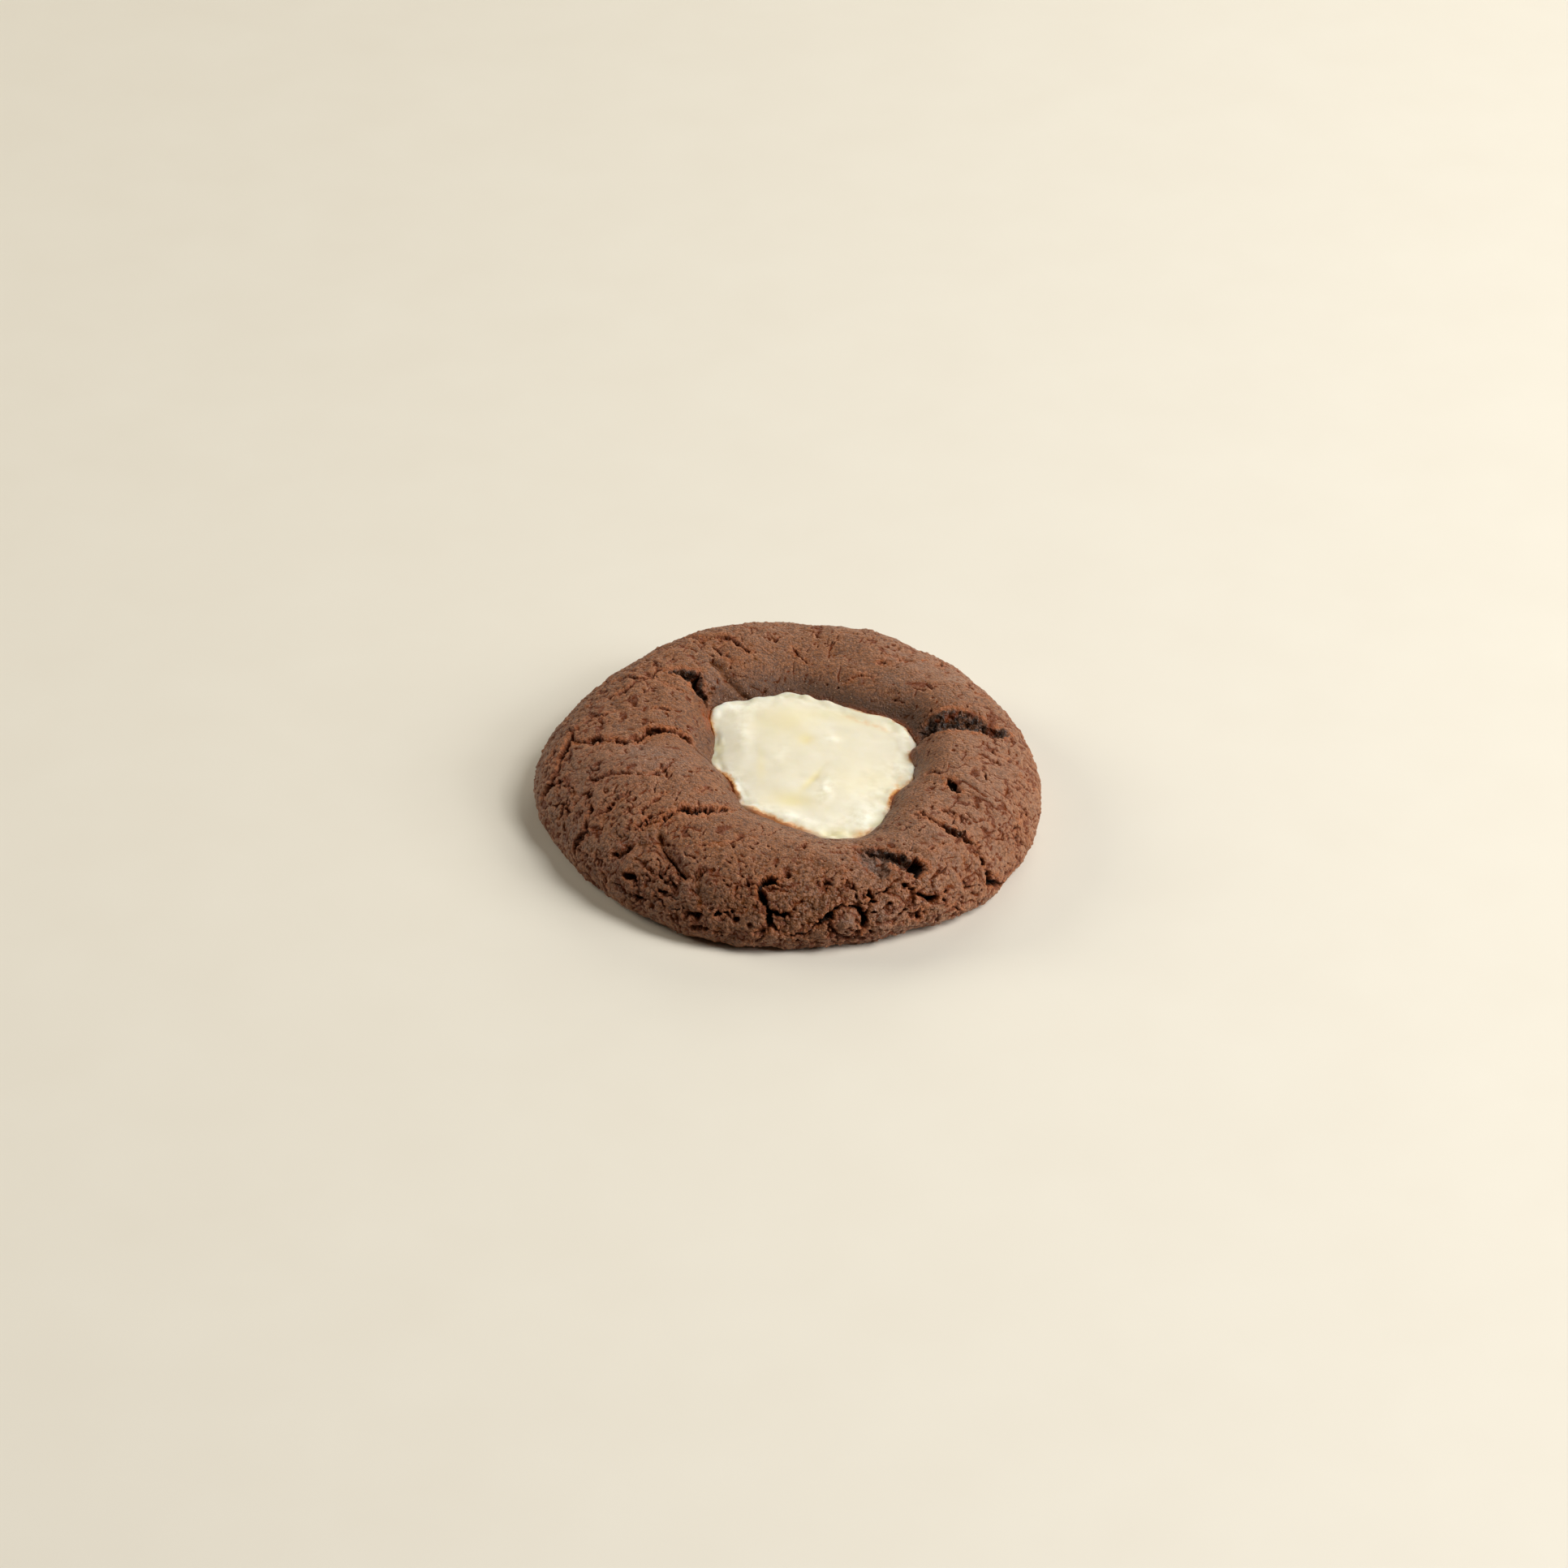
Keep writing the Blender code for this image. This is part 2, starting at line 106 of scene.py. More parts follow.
# Seams: cracks broken up into a chain of crumbly pits, given in the same way
SEAMS = {
    "left_fold": (0.45, 0.95, [(176, 0.24), (176, 0.30), (180, 0.33), (184, 0.355), (182, 0.41),
        (180, 0.46), (179, 0.51), (178, 0.55), (176, 0.60), (173, 0.62)], 0.4),
    "lower_right_arch": (0.3, 1, [(290.5, 0.60), (293, 0.59), (296, 0.575), (299, 0.59), (301, 0.62)]),
    "lower_right_tail": (0.35, 1.1, [(304, 0.70), (306, 0.70), (309, 0.69)]),
    "lower_right_toe": (0.35, 1, [(303, 0.72), (302, 0.76), (300, 0.80)]),
    "left_rim_outer": (0.25, 0.8, [(173, 0.70), (176, 0.70), (178, 0.71), (180, 0.76)]),
    "left_plate": (0.35, 1.1, [(189, 0.71), (191, 0.70), (194, 0.67), (196, 0.68), (197, 0.70),
        (198, 0.73), (200, 0.77)]),
    "left_plate_lower": (0.3, 1, [(199, 0.63), (201, 0.64), (202, 0.67), (203, 0.70), (204, 0.74),
        (203, 0.80)]),
    "lower_left_foot": (0.35, 1, [(213, 0.81), (217, 0.78), (219, 0.78), (220, 0.81), (222, 0.82),
        (223, 0.85)]),
    "lower_left": (0.5, 1.4, [(241, 0.18), (238, 0.24), (235, 0.29), (233, 0.32), (229, 0.36),
        (227, 0.40), (227, 0.44), (226, 0.48), (224, 0.52), (222, 0.57)], 0.3),
    "lower_left_branch": (0.25, 0.8, [(241, 0.63), (240, 0.67), (239, 0.70), (236, 0.68)]),
    "front_left_seam": (0.25, 0.9, [(243, 0.46), (246, 0.44), (249, 0.40), (252, 0.385), (253, 0.34),
        (255, 0.32), (258, 0.30)], 0.1),
    "front_left_low": (0.35, 1.1, [(247, 0.79), (249, 0.79), (251, 0.78), (254, 0.75), (256, 0.74),
        (258, 0.73), (260, 0.70)]),
    "lower_right_foot": (0.35, 1.1, [(306, 0.71), (307, 0.74), (308, 0.79), (310, 0.82), (311, 0.86)]),
    "lower_right_short": (0.25, 0.9, [(308.5, 0.46), (311, 0.47), (314, 0.49)], 0.15),
    "right_low_side": (0.35, 1.1, [(321, 0.58), (320, 0.62), (320, 0.66), (319, 0.70), (320, 0.75),
        (322, 0.81)]),
    "right_low_branch": (0.3, 0.9, [(312, 0.66), (313, 0.72)]),
    "right_short": (0.35, 1, [(324, 0.34), (325, 0.38), (323, 0.42)]),
    "right_rim": (0.35, 1.1, [(343, 0.72), (341, 0.69), (338, 0.69), (335, 0.71), (333, 0.75)]),
    "back_right": (0.45, 1.4, [(56, 0.37), (53, 0.39), (50, 0.395), (47, 0.42), (46, 0.48)], 0.25),
    "back_right_short": (0.35, 1, [(62, 0.12), (61, 0.16), (58, 0.19), (55, 0.20), (53, 0.20)]),
    "back_right_notch": (0.35, 1, [(44, 0.56), (42, 0.52), (41, 0.50)]),
    "back": (0.35, 1, [(119, 0.52), (118, 0.49), (116, 0.43), (113, 0.44), (110, 0.41), (108, 0.37),
        (107, 0.32), (104, 0.26)], -0.2),
    "back_short": (0.25, 0.9, [(115, 0.36), (114, 0.29), (112, 0.22), (109, 0.20)]),
    "upper_left_tail": (0.35, 1.1, [(136, 0.31), (138, 0.37), (144, 0.38), (146, 0.43), (146, 0.50),
        (147, 0.57)]),
    "upper_left_lip": (0.25, 0.8, [(144, 0.36), (144, 0.30), (144, 0.25), (143, 0.18)], 0.2),
    "upper_left_rim": (0.35, 1, [(151, 0.45), (154, 0.47), (156, 0.50), (157, 0.55), (159, 0.61)], 0.2),
    "upper_left_line": (0.3, 1, [(168, 0.58), (167, 0.54), (167, 0.50), (165, 0.47), (163, 0.41)], 0.2),
}

# Gashes that lay the moist inside bare: half width and depth in millimetres, then their course
GASHES = {
    "right": (3.2, 2.3, [(16.5, 0.07), (15.5, 0.13), (14, 0.21), (13, 0.28), (11.5, 0.35), (9.5, 0.43),
        (8, 0.52)]),
    "lower_right": (2.4, 0.9, [(293.5, 0.25), (294, 0.33), (294.5, 0.40), (295, 0.47)]),
    "lower_right_trench": (1.3, 1.5, [(295, 0.25), (298, 0.32), (300, 0.39), (301, 0.46), (302, 0.52)]),
    "right_low": (1.1, 1.3, [(318, 0.41), (319, 0.49), (320, 0.555)]),
    "upper_left": (1.4, 1.9, [(136, 0.31), (134, 0.28), (132, 0.24), (130.5, 0.20), (131.5, 0.16),
        (133, 0.12), (134, 0.08)]),
}

# Thin cracks that only show close by: half width and depth in millimetres, then their course
THIN_CRACKS = [
    (0.3, 0.6, [(195, 0.60), (197, 0.56), (198, 0.51), (200, 0.48), (204, 0.43)]),
    (0.3, 0.6, [(204, 0.43), (206, 0.40), (207, 0.35), (205, 0.30)]),
    (0.3, 0.6, [(210, 0.61), (210, 0.58), (210, 0.53)]),
    (0.25, 0.5, [(218, 0.50), (218, 0.46), (218, 0.41), (217, 0.37)]),
    (0.25, 0.5, [(224, 0.25), (226, 0.21), (227, 0.18)]),
    (0.3, 0.6, [(161, 0.30), (161, 0.24)]),
    (0.4, 1, [(228, 0.76), (230, 0.75), (231, 0.76)]),
    (0.4, 1, [(237, 0.78), (239, 0.78), (240, 0.80)]),
    (0.4, 1, [(238, 0.75), (241, 0.73)]),
    (0.4, 0.9, [(239, 0.67), (241, 0.69), (240, 0.70)]),
    (0.45, 1.2, [(249, 0.73), (249.5, 0.75), (250, 0.78)]),
    (0.45, 1.1, [(246.5, 0.80), (248, 0.80), (249, 0.79)]),
    (0.45, 1.2, [(252.5, 0.77), (254.5, 0.76)]),
    (0.4, 0.9, [(232, 0.82), (235, 0.82)]),
    (0.35, 0.9, [(188, 0.81), (188, 0.76), (186, 0.72)]),
    (0.35, 0.9, [(192, 0.74), (190, 0.71), (189, 0.67)]),
    (0.35, 0.9, [(206, 0.70), (209, 0.74), (208, 0.80)]),
    (0.35, 0.8, [(209, 0.66), (209, 0.61), (210, 0.56)]),
    (0.35, 0.9, [(200, 0.77), (199, 0.73), (199, 0.69)]),
    (0.35, 0.8, [(198, 0.81), (198, 0.78), (197, 0.76)]),
    (0.35, 0.8, [(222, 0.58), (222, 0.50), (225, 0.44)]),
    (0.35, 0.8, [(248, 0.86), (252, 0.85), (255, 0.855)]),
    (0.4, 0.8, [(263, 0.82), (265, 0.81), (266, 0.79)]),
    (0.3, 0.6, [(257, 0.61), (257, 0.66)]),
    (0.25, 0.5, [(275, 0.31), (276, 0.25), (277, 0.20)]),
    (0.3, 0.6, [(280, 0.42), (280, 0.48), (280, 0.55)]),
    (0.3, 0.6, [(286, 0.40), (285, 0.48), (286, 0.55)]),
    (0.4, 0.9, [(299, 0.77), (300, 0.75), (302, 0.72)]),
    (0.3, 0.7, [(316, 0.22), (318, 0.27)]),
    (0.3, 0.6, [(342, 0.13), (342, 0.18), (340, 0.22)]),
    (0.25, 0.5, [(357, 0.45), (356, 0.50), (357, 0.57)]),
    (0.25, 0.5, [(349, 0.31), (350, 0.35), (352, 0.40)]),
    (0.3, 0.6, [(352, 0.60), (352, 0.68), (353, 0.74)]),
    (0.3, 0.6, [(25, 0.47), (24, 0.51), (24, 0.58)]),
    (0.45, 0.9, [(55.5, 0.31), (54, 0.315), (53, 0.32)]),
    (0.3, 0.6, [(82, 0.20), (86, 0.24), (88, 0.30)]),
]

# Smooth grooves: half width and depth in millimetres, then their course
GROOVES = [
    (1.2, 1.1, [(229, 0.53), (234, 0.58), (237, 0.59), (240, 0.61), (243, 0.64)]),
    (1.4, 0.7, [(246, 0.62), (248, 0.67), (249, 0.73)]),
    (1, 0.5, [(231, 0.52), (226, 0.62), (221, 0.73)]),
    (0.9, 0.9, [(119, 0.26), (118, 0.20), (117, 0.12), (115, 0.04), (112, 0)]),
]

# Deep pits: angle, share across, half width and depth in millimetres
DEEP_PITS = [
    (209, 0.58, 0.6, 0.9), (270, 0.485, 0.7, 1), (258, 0.775, 0.8, 1.2), (261.5, 0.79, 0.7, 1),
    (249, 0.80, 0.7, 1), (343, 0.70, 0.8, 1.1), (324, 0.35, 0.6, 0.9), (208, 0.72, 0.8, 1),
    (213, 0.50, 0.5, 0.8), (253, 0.40, 0.5, 0.8), (305, 0.86, 0.6, 0.9), (318, 0.25, 0.6, 0.9),
]

# Humps and hollows: angle, share across, reach in millimetres, height in millimetres
SWELLS = [
    (199, 0.36, 7.5, 1.1), (182, 0.33, 4, -0.6), (160, 0.30, 8, 0.6), (250, 0.30, 9, 0.4),
    (284, 0.735, 2.4, 1), (292.5, 0.73, 3.2, 1), (298, 0.52, 1.8, 1), (306, 0.58, 4.2, 0.9),
    (314, 0.36, 5, 0.5), (340, 0.34, 8, 0.5), (30, 0.34, 7, 0.6), (25, 0.08, 4.5, -1.3),
    (124, 0.15, 3, 0.8), (116, 0.13, 3.2, -0.5), (131, 0.12, 4.5, -1), (232, 0.56, 5, -0.5),
    (5, 0.02, 1.5, 1), (296, 0.30, 5, -0.8), (12, 0.28, 6, -0.6), (90, 0.44, 10, 0.4),
    (355, 0.30, 6, 0.4), (105, 0.50, 6, 0.6), (65, 0.52, 6.5, 0.7), (85, 0.50, 4, -0.2),
    (88, 0.20, 8, -0.8), (70, 0.16, 6, -0.4),
]

# Patches of painted bluish sheen on the skin: angle, share across, reach round and across in millimetres,
# strength
PAINTED_SHEEN_PATCHES = [
    (190, 0.36, 3.5, 3, 1), (199, 0.33, 4, 6, 0.6), (196, 0.60, 5, 5, 0.4),
    (223, 0.68, 2.2, 2.6, 1), (238, 0.59, 5, 1.6, 0.8), (246, 0.70, 2.5, 2.5, 0.5),
    (292, 0.72, 2.6, 2.6, 1), (284, 0.73, 2.4, 2, 0.8), (294, 0.38, 2.2, 3.4, 1.9),
    (50, 0.41, 3, 2, 0.8), (43, 0.22, 3, 2, 0.9), (30, 0.14, 3, 1.4, 0.5),
    (158, 0.56, 2, 2, 0.7), (352, 0.06, 4, 1.6, 0.6), (125, 0.14, 2.8, 3.5, 0.8),
    (178, 0.08, 4, 2, 0.5), (103, 0.10, 6, 2, 0.4), (231, 0.33, 2.5, 2, 0.4),
]

# Patches that are paler, partly drier dough and partly painted light on the sides that face the lamps, and
# patches of painted shade, given in the same way
DRY_AND_PAINTED_LIGHT_PATCHES = [
    (338, 0.60, 30, 13, 1.15), (306, 0.62, 13, 9, 1.1), (45, 0.48, 13, 8, 0.6),
    (192, 0.55, 15, 12, 0.8),
]
PAINTED_SHADE_PATCHES = [(28, 0.03, 6, 3, 1), (75, 0.03, 17, 3.2, 0.8), (250, 0.78, 28, 7, 0.42)]

# Lumps of the cream: place in millimetres, reach each way, turn in degrees, height in millimetres
CREAM_LUMPS = [
    (-8.6, 14.5, 4.5, 1.8, 8, 0.6), (-0.4, 10.8, 4.5, 3.6, 0, 0.5), (8, 5.4, 1.6, 1, 0, 0.3),
    (3.3, 5.4, 1.3, 1.3, 0, -0.35), (-8, 8.1, 1.6, 5, 0, 0.6), (-11.7, 4.4, 1.8, 5, 0, -0.4),
    (-9.2, -7.6, 2.4, 5, 15, 0.5), (-0.8, -16.6, 8, 1.6, -28, 0.8), (4.1, -6.7, 0.8, 3.4, -30, -0.5),
    (0.6, -12.2, 3.4, 2, -15, -0.9), (6.6, -9.3, 1.3, 3.6, -15, 0.6), (13.5, -18, 4, 3, 40, 0.5),
    (8.2, -21.6, 3, 1.2, 0, -0.7), (21.3, 7.1, 2, 2.2, 0, 0.6), (21.6, 1.9, 1.3, 1, 0, -1.1),
    (21.4, -2.1, 2, 2, 0, 0.6), (12, -4, 6, 4, 0, 0.3), (0, 2, 5, 3, 0, 0.25),
    (-3, -5, 3, 2.4, 20, 0.3), (-5.1, 18.7, 7, 1, -6, -0.4),
]

# Patches of the cream's colours: place in millimetres, reach each way, turn in degrees, strength
# White curd, and at (8, 5.4) a painted highlight.
CREAM_WHITE_AND_HIGHLIGHT = [
    (-8.6, 14.8, 5, 2, 8, 1), (8, 5.4, 1.5, 0.9, 0, 1), (-8, 8.1, 1.5, 5.5, 0, 0.8),
    (-9.2, -7.6, 2.6, 6, 15, 1), (-0.8, -16.4, 9, 1.6, -28, 1), (6.6, -9.3, 1.6, 4.2, -15, 1),
    (13.5, -18, 6, 4, 40, 1), (21.3, 7.1, 2.4, 2.6, 0, 0.8), (20.4, -3, 3.4, 3, 0, 0.9),
    (15.5, -9, 4, 5, -20, 0.7), (-1, 1, 1.2, 3.6, -20, 0.4),
]
CREAM_YELLOW = [
    (-0.4, 10.8, 5.5, 4, 0, 0.7), (3.3, 5.4, 1.4, 1.6, 0, 1), (4.1, -6.7, 0.7, 3.2, -30, 1),
    (0.8, -12, 3.8, 2.2, -15, 1), (13.5, -7, 5, 4, 0, 0.4), (-4.5, -2, 0.8, 5, 0, 0.5),
    (10, 12, 7, 2, -15, 0.4),
]
# Olive patches: partly the cream's thin translucent edge, partly painted shade on edges that face away from
# the lamps.
CREAM_OLIVE_AND_SHADE = [
    (-12.4, 3.2, 1.5, 4.4, 0, 0.9), (-3, 19.2, 8, 1.6, -6, 0.6), (8.4, -21.8, 3.2, 1.5, 5, 0.9),
    (15.6, -19.6, 1.4, 4.6, -35, 1), (18.6, -13, 0.9, 3, -20, 0.6),
]
CREAM_TOAST = [
    (-13.9, 10.6, 0.9, 3, 5, 1), (21.9, 1.9, 1.1, 0.9, 0, 1.3), (-11.2, -6, 0.8, 5, 25, 1),
    (-0.5, -19, 5.5, 0.9, -28, 1), (18.8, -8.5, 1, 3.4, -15, 1), (14.2, 10.6, 5, 0.7, -28, 0.6),
    (12.6, -21.4, 1.6, 0.8, 0, 0.8), (-12.8, 15.6, 1.6, 0.8, 20, 0.6),
]

# Stretches where the cream's edge is burnt: middle and reach in degrees, strength
BURNT_STRETCHES = [
    (141, 9, 1), (212, 24, 1), (262, 20, 0.8), (301, 6, 0.5), (333, 14, 1), (5, 5, 1), (38, 22, 0.7),
    (75, 14, 0.3),
]
FRONT_BROWNING = 0.6 * MM

# The dough's grid, which starts a little under the cream's edge, and its relief
GRID_ANGLES = 1500
GRID_ROWS = 280
GRID_START = -0.10
GRAIN_SIZE = 0.8 * MM
MEAN_RADIUS = 36 * MM
MEAN_LENGTH = 36 * MM
DOUGH_TRIANGLES = 186000
FOLD_REACH = 3.0 * MM
FOLD_MARGIN = 12 * MM
FINE_BLUR = 2
BROAD_BLUR = 7

# Cracks and pits at random places; the cracks bend at each step, on a ring of mean size, in millimetres
SEED = 20
PITS = 600
FINE_CRACKS = 820
FINE_STEP = 0.6
FINE_RADIUS = 38
FINE_LENGTH = 36

# The cream's grid, which ends as a skirt that hangs down inside the dough
CREAM_ANGLES = 500
CREAM_ROWS = 150
CREAM_REACH = 1.05
CREAM_DOME = 0.4 * MM
SKIRT_DEPTH = 2.0 * MM
DOUGH_INNER_ROWS = 80

# Lights: direction round and up in degrees, width in metres, watts and colour
LIGHTS = [
    ("key_high", 346, 55, 0.50, 7.6, (1.0, 0.993, 0.972)),
    ("key_middle", 343, 40, 0.50, 5.0, (1.0, 0.993, 0.972)),
    ("key_low", 345, 25, 0.50, 5.8, (1.0, 0.993, 0.972)),
    ("back_right", 70, 25, 0.80, 5.0, (1.0, 0.955, 0.84)),
    ("back_left", 160, 25, 0.60, 6.5, (1.0, 0.95, 0.82)),
    ("front_top", 255, 68, 0.50, 0.5, (1.0, 0.93, 0.76)),
]
LIGHT_DISTANCE = 1.25
ROOM_COLOUR = (1.0, 0.93, 0.76, 1.0)
ROOM_STRENGTH = 0.012
FLOOR_HALF_WIDTH = 1.2
FLOOR_DROP = 0.05 * MM

# Camera: its height over the table, its distance, the width it sees there and the point it looks at
CAMERA_ELEVATION = math.radians(36)
CAMERA_DISTANCE = 0.80
VIEW_WIDTH = 0.273
AIM = np.array([-0.5, 0.0, 4.8]) * MM
SENSOR_WIDTH = 36.0


def around(angle, values):
    """The smooth closed curve through values that are evenly spaced round the cookie."""
    count = len(values)
    turn = (np.asarray(angle) / (2 * np.pi) * count) % count
    first = np.floor(turn).astype(int) % count
    part = turn - np.floor(turn)
    a, b, c, d = (values[(first + step) % count] for step in (-1, 0, 1, 2))
    square = (2 * a - 5 * b + 4 * c - d) * part**2
    cube = (3 * b - a - 3 * c + d) * part**3
    return 0.5 * (2 * b + (c - a) * part + square + cube)


def turn_from(angle, degrees):
    """The turn from a direction in degrees to an angle, at most half a turn either way."""
    return (angle - np.radians(degrees) + np.pi) % (2 * np.pi) - np.pi


def smooth_step(low, high, value):
    share = np.clip((value - low) / (high - low), 0, 1)
    return share * share * (3 - 2 * share)


def raise_to(field, where, value):
    """Raises a field to a value in part of the grid, and leaves it where it is higher already."""
    field[where] = np.maximum(field[where], value)


def lattice_values(x, y, z, seed):
    """A repeatable random value from -1 to 1 for each whole-numbered place."""
    mixed = (x.astype(np.uint32) * np.uint32(73856093)) ^ (y.astype(np.uint32) * np.uint32(19349663))
    mixed ^= (z.astype(np.uint32) * np.uint32(83492791)) ^ np.uint32(seed * 2654435 + 97)
    mixed = (mixed ^ (mixed >> np.uint32(15))) * np.uint32(2246822519)
    mixed = (mixed ^ (mixed >> np.uint32(13))) * np.uint32(3266489917)
    mixed ^= mixed >> np.uint32(16)
    return mixed.astype(float) / 2147483648.0 - 1.0


def noise(points, size, seed):
    """Smooth noise from -1 to 1 with features about size across."""
    place = points / size + 100.0
    cell = np.floor(place).astype(np.int64)
    part = place - cell
    part = part * part * part * (part * (part * 6 - 15) + 10)
    i, j, k = np.moveaxis(cell, -1, 0)
    u, v, w = np.moveaxis(part, -1, 0)
    total = 0.0
    for dx, dy, dz in np.ndindex(2, 2, 2):
        weight = (u if dx else 1 - u) * (v if dy else 1 - v) * (w if dz else 1 - w)
        total = total + weight * lattice_values(i + dx, j + dy, k + dz, seed)
    return total


def grains(points, size):
    """For the grain that each place lies in: the way to its middle, how near its border is, and a lift."""
    flat = points.reshape(-1, 3)
    middles = np.empty(flat.shape)
    gaps = np.empty(len(flat))
    for index, place in enumerate((flat / size).tolist()):
        distances, found = cell_noise.voronoi(place)
        middles[index] = found[0]
        gaps[index] = distances[1] - distances[0]
    middles *= size
    lift = lattice_values(*(np.floor(middles[:, axis] * 1e7).astype(np.int64) for axis in range(3)), 41)
    shape = points.shape[:-1]
    return (middles - flat).reshape(points.shape), gaps.reshape(shape), lift.reshape(shape)


def section(angle):
    """The ring's plain section at each angle: radius and height from the well's floor to under the foot."""
    outer, well, crest_height, cream_edge, crest_share, power = (
        around(angle, table)[:, None]
        for table in (OUTER_RADII, WELL_RADII, CREST_HEIGHTS, CREAM_EDGE_HEIGHTS, CREST_SHARES, WALL_POWERS)
    )
    crest = well + (outer - well) * crest_share
    up = np.linspace(0, 1, FLOOR_STEPS)[None, :-1]
    low = (well - FLOOR_INSET * (1 - up) ** FLOOR_POWER,
           FLOOR_HEIGHT + (cream_edge - FLOOR_HEIGHT) * up**FLOOR_POWER)
    fall = np.linspace(1, 0, WALL_STEPS)[None, :-1]
    wall = (crest - (crest - well) * fall, crest_height - (crest_height - cream_edge) * fall**power)
    out = 1 - (1 - np.linspace(0, 1, SIDE_STEPS)[None, :]) ** SIDE_SPREAD
    side = (crest + (outer - crest) * out,
            EDGE_HEIGHT + (crest_height - EDGE_HEIGHT) * (1 - out**SIDE_POWER) ** SIDE_ROUNDNESS)
    turn = np.linspace(0, 1, FOOT_STEPS)[None, 1:] * np.pi / 2
    foot = (outer - FOOT_INSET * (1 - np.cos(turn)), EDGE_HEIGHT * (1 - np.sin(turn)) + 0 * outer)
    return [np.concatenate(parts, 1) for parts in zip(low, wall, side, foot)]


def even_rows(angle, rows):
    """The plain section in even steps: radius, height, share across the ring and its length there."""
    radius, height = section(angle)
    edge = FLOOR_STEPS - 1
    steps = np.hypot(np.diff(radius, axis=1), np.diff(height, axis=1))
    along = np.concatenate([np.zeros((len(angle), 1)), np.cumsum(steps, 1)], 1)
    start = along[:, edge:edge + 1]
    length = along[:, -1:] - start
    share = np.linspace(GRID_START, 1.0, rows)[None, :] * np.ones_like(length)
    wanted = start + share * length
    even_radius = np.array([np.interp(w, a, r) for w, a, r in zip(wanted, along, radius)])
    even_height = np.array([np.interp(w, a, h) for w, a, h in zip(wanted, along, height)])
    return even_radius, even_height, share, length


class Ring:
    """A fine grid over the ring, and the fields that carving it fills in."""

    def __init__(self, angles, rows):
        self.angle = np.linspace(0, 2 * np.pi, angles, endpoint=False)
        radius, height, self.share, length = even_rows(self.angle, rows)
        self.radius = radius
        self.length = length + 0 * radius
        self.turn = self.angle[:, None] + 0 * radius
        self.plain = np.stack([radius * np.cos(self.turn), radius * np.sin(self.turn), height], -1)
        round_it = np.roll(self.plain, -1, 0) - np.roll(self.plain, 1, 0)
        across = np.gradient(self.plain, axis=1)
        normal = np.cross(across, round_it)
        normal /= np.linalg.norm(normal, axis=2, keepdims=True) + 1e-12
        self.normal = normal * np.sign(normal[..., 2:].sum() + 1e-12)
        self.out, self.hollow, self.lip, self.moist, self.loose = np.zeros((5, *radius.shape))
        shift, self.gap, self.lift = grains(self.plain, GRAIN_SIZE)
        round_it /= np.linalg.norm(round_it, axis=2, keepdims=True)
        across /= np.linalg.norm(across, axis=2, keepdims=True)
        self.shift_round = (shift * round_it).sum(-1)
        self.shift_across = (shift * across).sum(-1)
        self.ragged = 0.30 * MM * noise(self.plain, 0.9 * MM, 13)
        self.ragged += 0.16 * MM * noise(self.plain, 0.45 * MM, 14)
        self.wander = 0.45 * MM * noise(self.plain, 1.6 * MM, 11)
        self.wander += 0.5 * MM * noise(self.plain, 4.0 * MM, 12)
        self.broken = noise(self.plain, 2.2 * MM, 15)
        self.beads = noise(self.plain, 0.75 * MM, 17) + 0.4 * self.lift
        self.rough_side = smooth_step(0.30, 0.7, self.share)

    def window(self, course, margin):
        """The part of the grid within margin of a course, as an index for the fields."""
        degrees = np.array([place[0] for place in course], float)
        shares = np.array([place[1] for place in course])
        count, rows = self.share.shape
        reach = margin / (0.5 * WELL_RADII.min() + 0.5 * OUTER_RADII.min())
        low = int(np.floor((np.radians(degrees.min()) - reach) / (2 * np.pi) * count))
        high = int(np.ceil((np.radians(degrees.max()) + reach) / (2 * np.pi) * count))
        row_reach = margin / self.length.min()
        scale = (rows - 1) / (1.0 - GRID_START)
        first = int(np.clip((shares.min() - row_reach - GRID_START) * scale, 0, rows - 1))
        last = int(np.clip((shares.max() + row_reach - GRID_START) * scale + 2, 1, rows))
        return np.ix_(np.arange(low, high + 1) % count, np.arange(first, last))

    def away_from(self, course, where, blocky):
        """Distance from a course on the ring, on which side of it, and how far along it.

        blocky, from 0 to 1, makes the distance the same all over a grain, so that edges follow grains.
        """
        fields = (self.turn, self.share, self.radius, self.length)
        turn_here, share, radius, length = (field[where] for field in fields)
        shift_round = blocky * self.shift_round[where]
        shift_across = blocky * self.shift_across[where]
        nearest = np.full(turn_here.shape, 1.0)
        side = np.zeros(turn_here.shape)
        along = np.zeros(turn_here.shape)
        for index, (start, end) in enumerate(zip(course[:-1], course[1:])):
            turn = turn_from(turn_here, start[0])
            x, y = turn * radius + shift_round, (share - start[1]) * length + shift_across
            dx, dy = np.radians(end[0] - start[0]) * radius, (end[1] - start[1]) * length
            part = np.clip((x * dx + y * dy) / (dx * dx + dy * dy), 0, 1)
            distance = np.hypot(x - part * dx, y - part * dy)
            closer = distance < nearest
            nearest = np.where(closer, distance, nearest)
            side = np.where(closer, np.sign(dx * y - dy * x), side)
            along = np.where(closer, (index + part) / (len(course) - 1), along)
        return nearest, side, along

    def cut_in(self, where, cut, depth, edge, width, lip, loosened):
        """Lowers the surface in a crack, and marks its inside, its lips and the loose dough beside it."""
        floor = 1 + 0.18 * self.lift[where]
        self.out[where] -= depth * cut * floor
        inside = smooth_step(0.02, 0.55, cut)
        # The inside is marked more strongly the deeper the cut, and the finish paints it dark as painted
        # shade.
        raise_to(self.hollow, where, inside * min(1.0, 0.15 + depth / (2.0 * MM)))
        rim = np.exp(-((edge - 1.2 * width) / (0.55 * MM)) ** 2) * (1 - 0.7 * inside)
        raise_to(self.lip, where, lip * rim)
        near = np.exp(-np.maximum(edge - width, 0) / (0.9 * MM)) * loosened
        raise_to(self.loose, where, near)

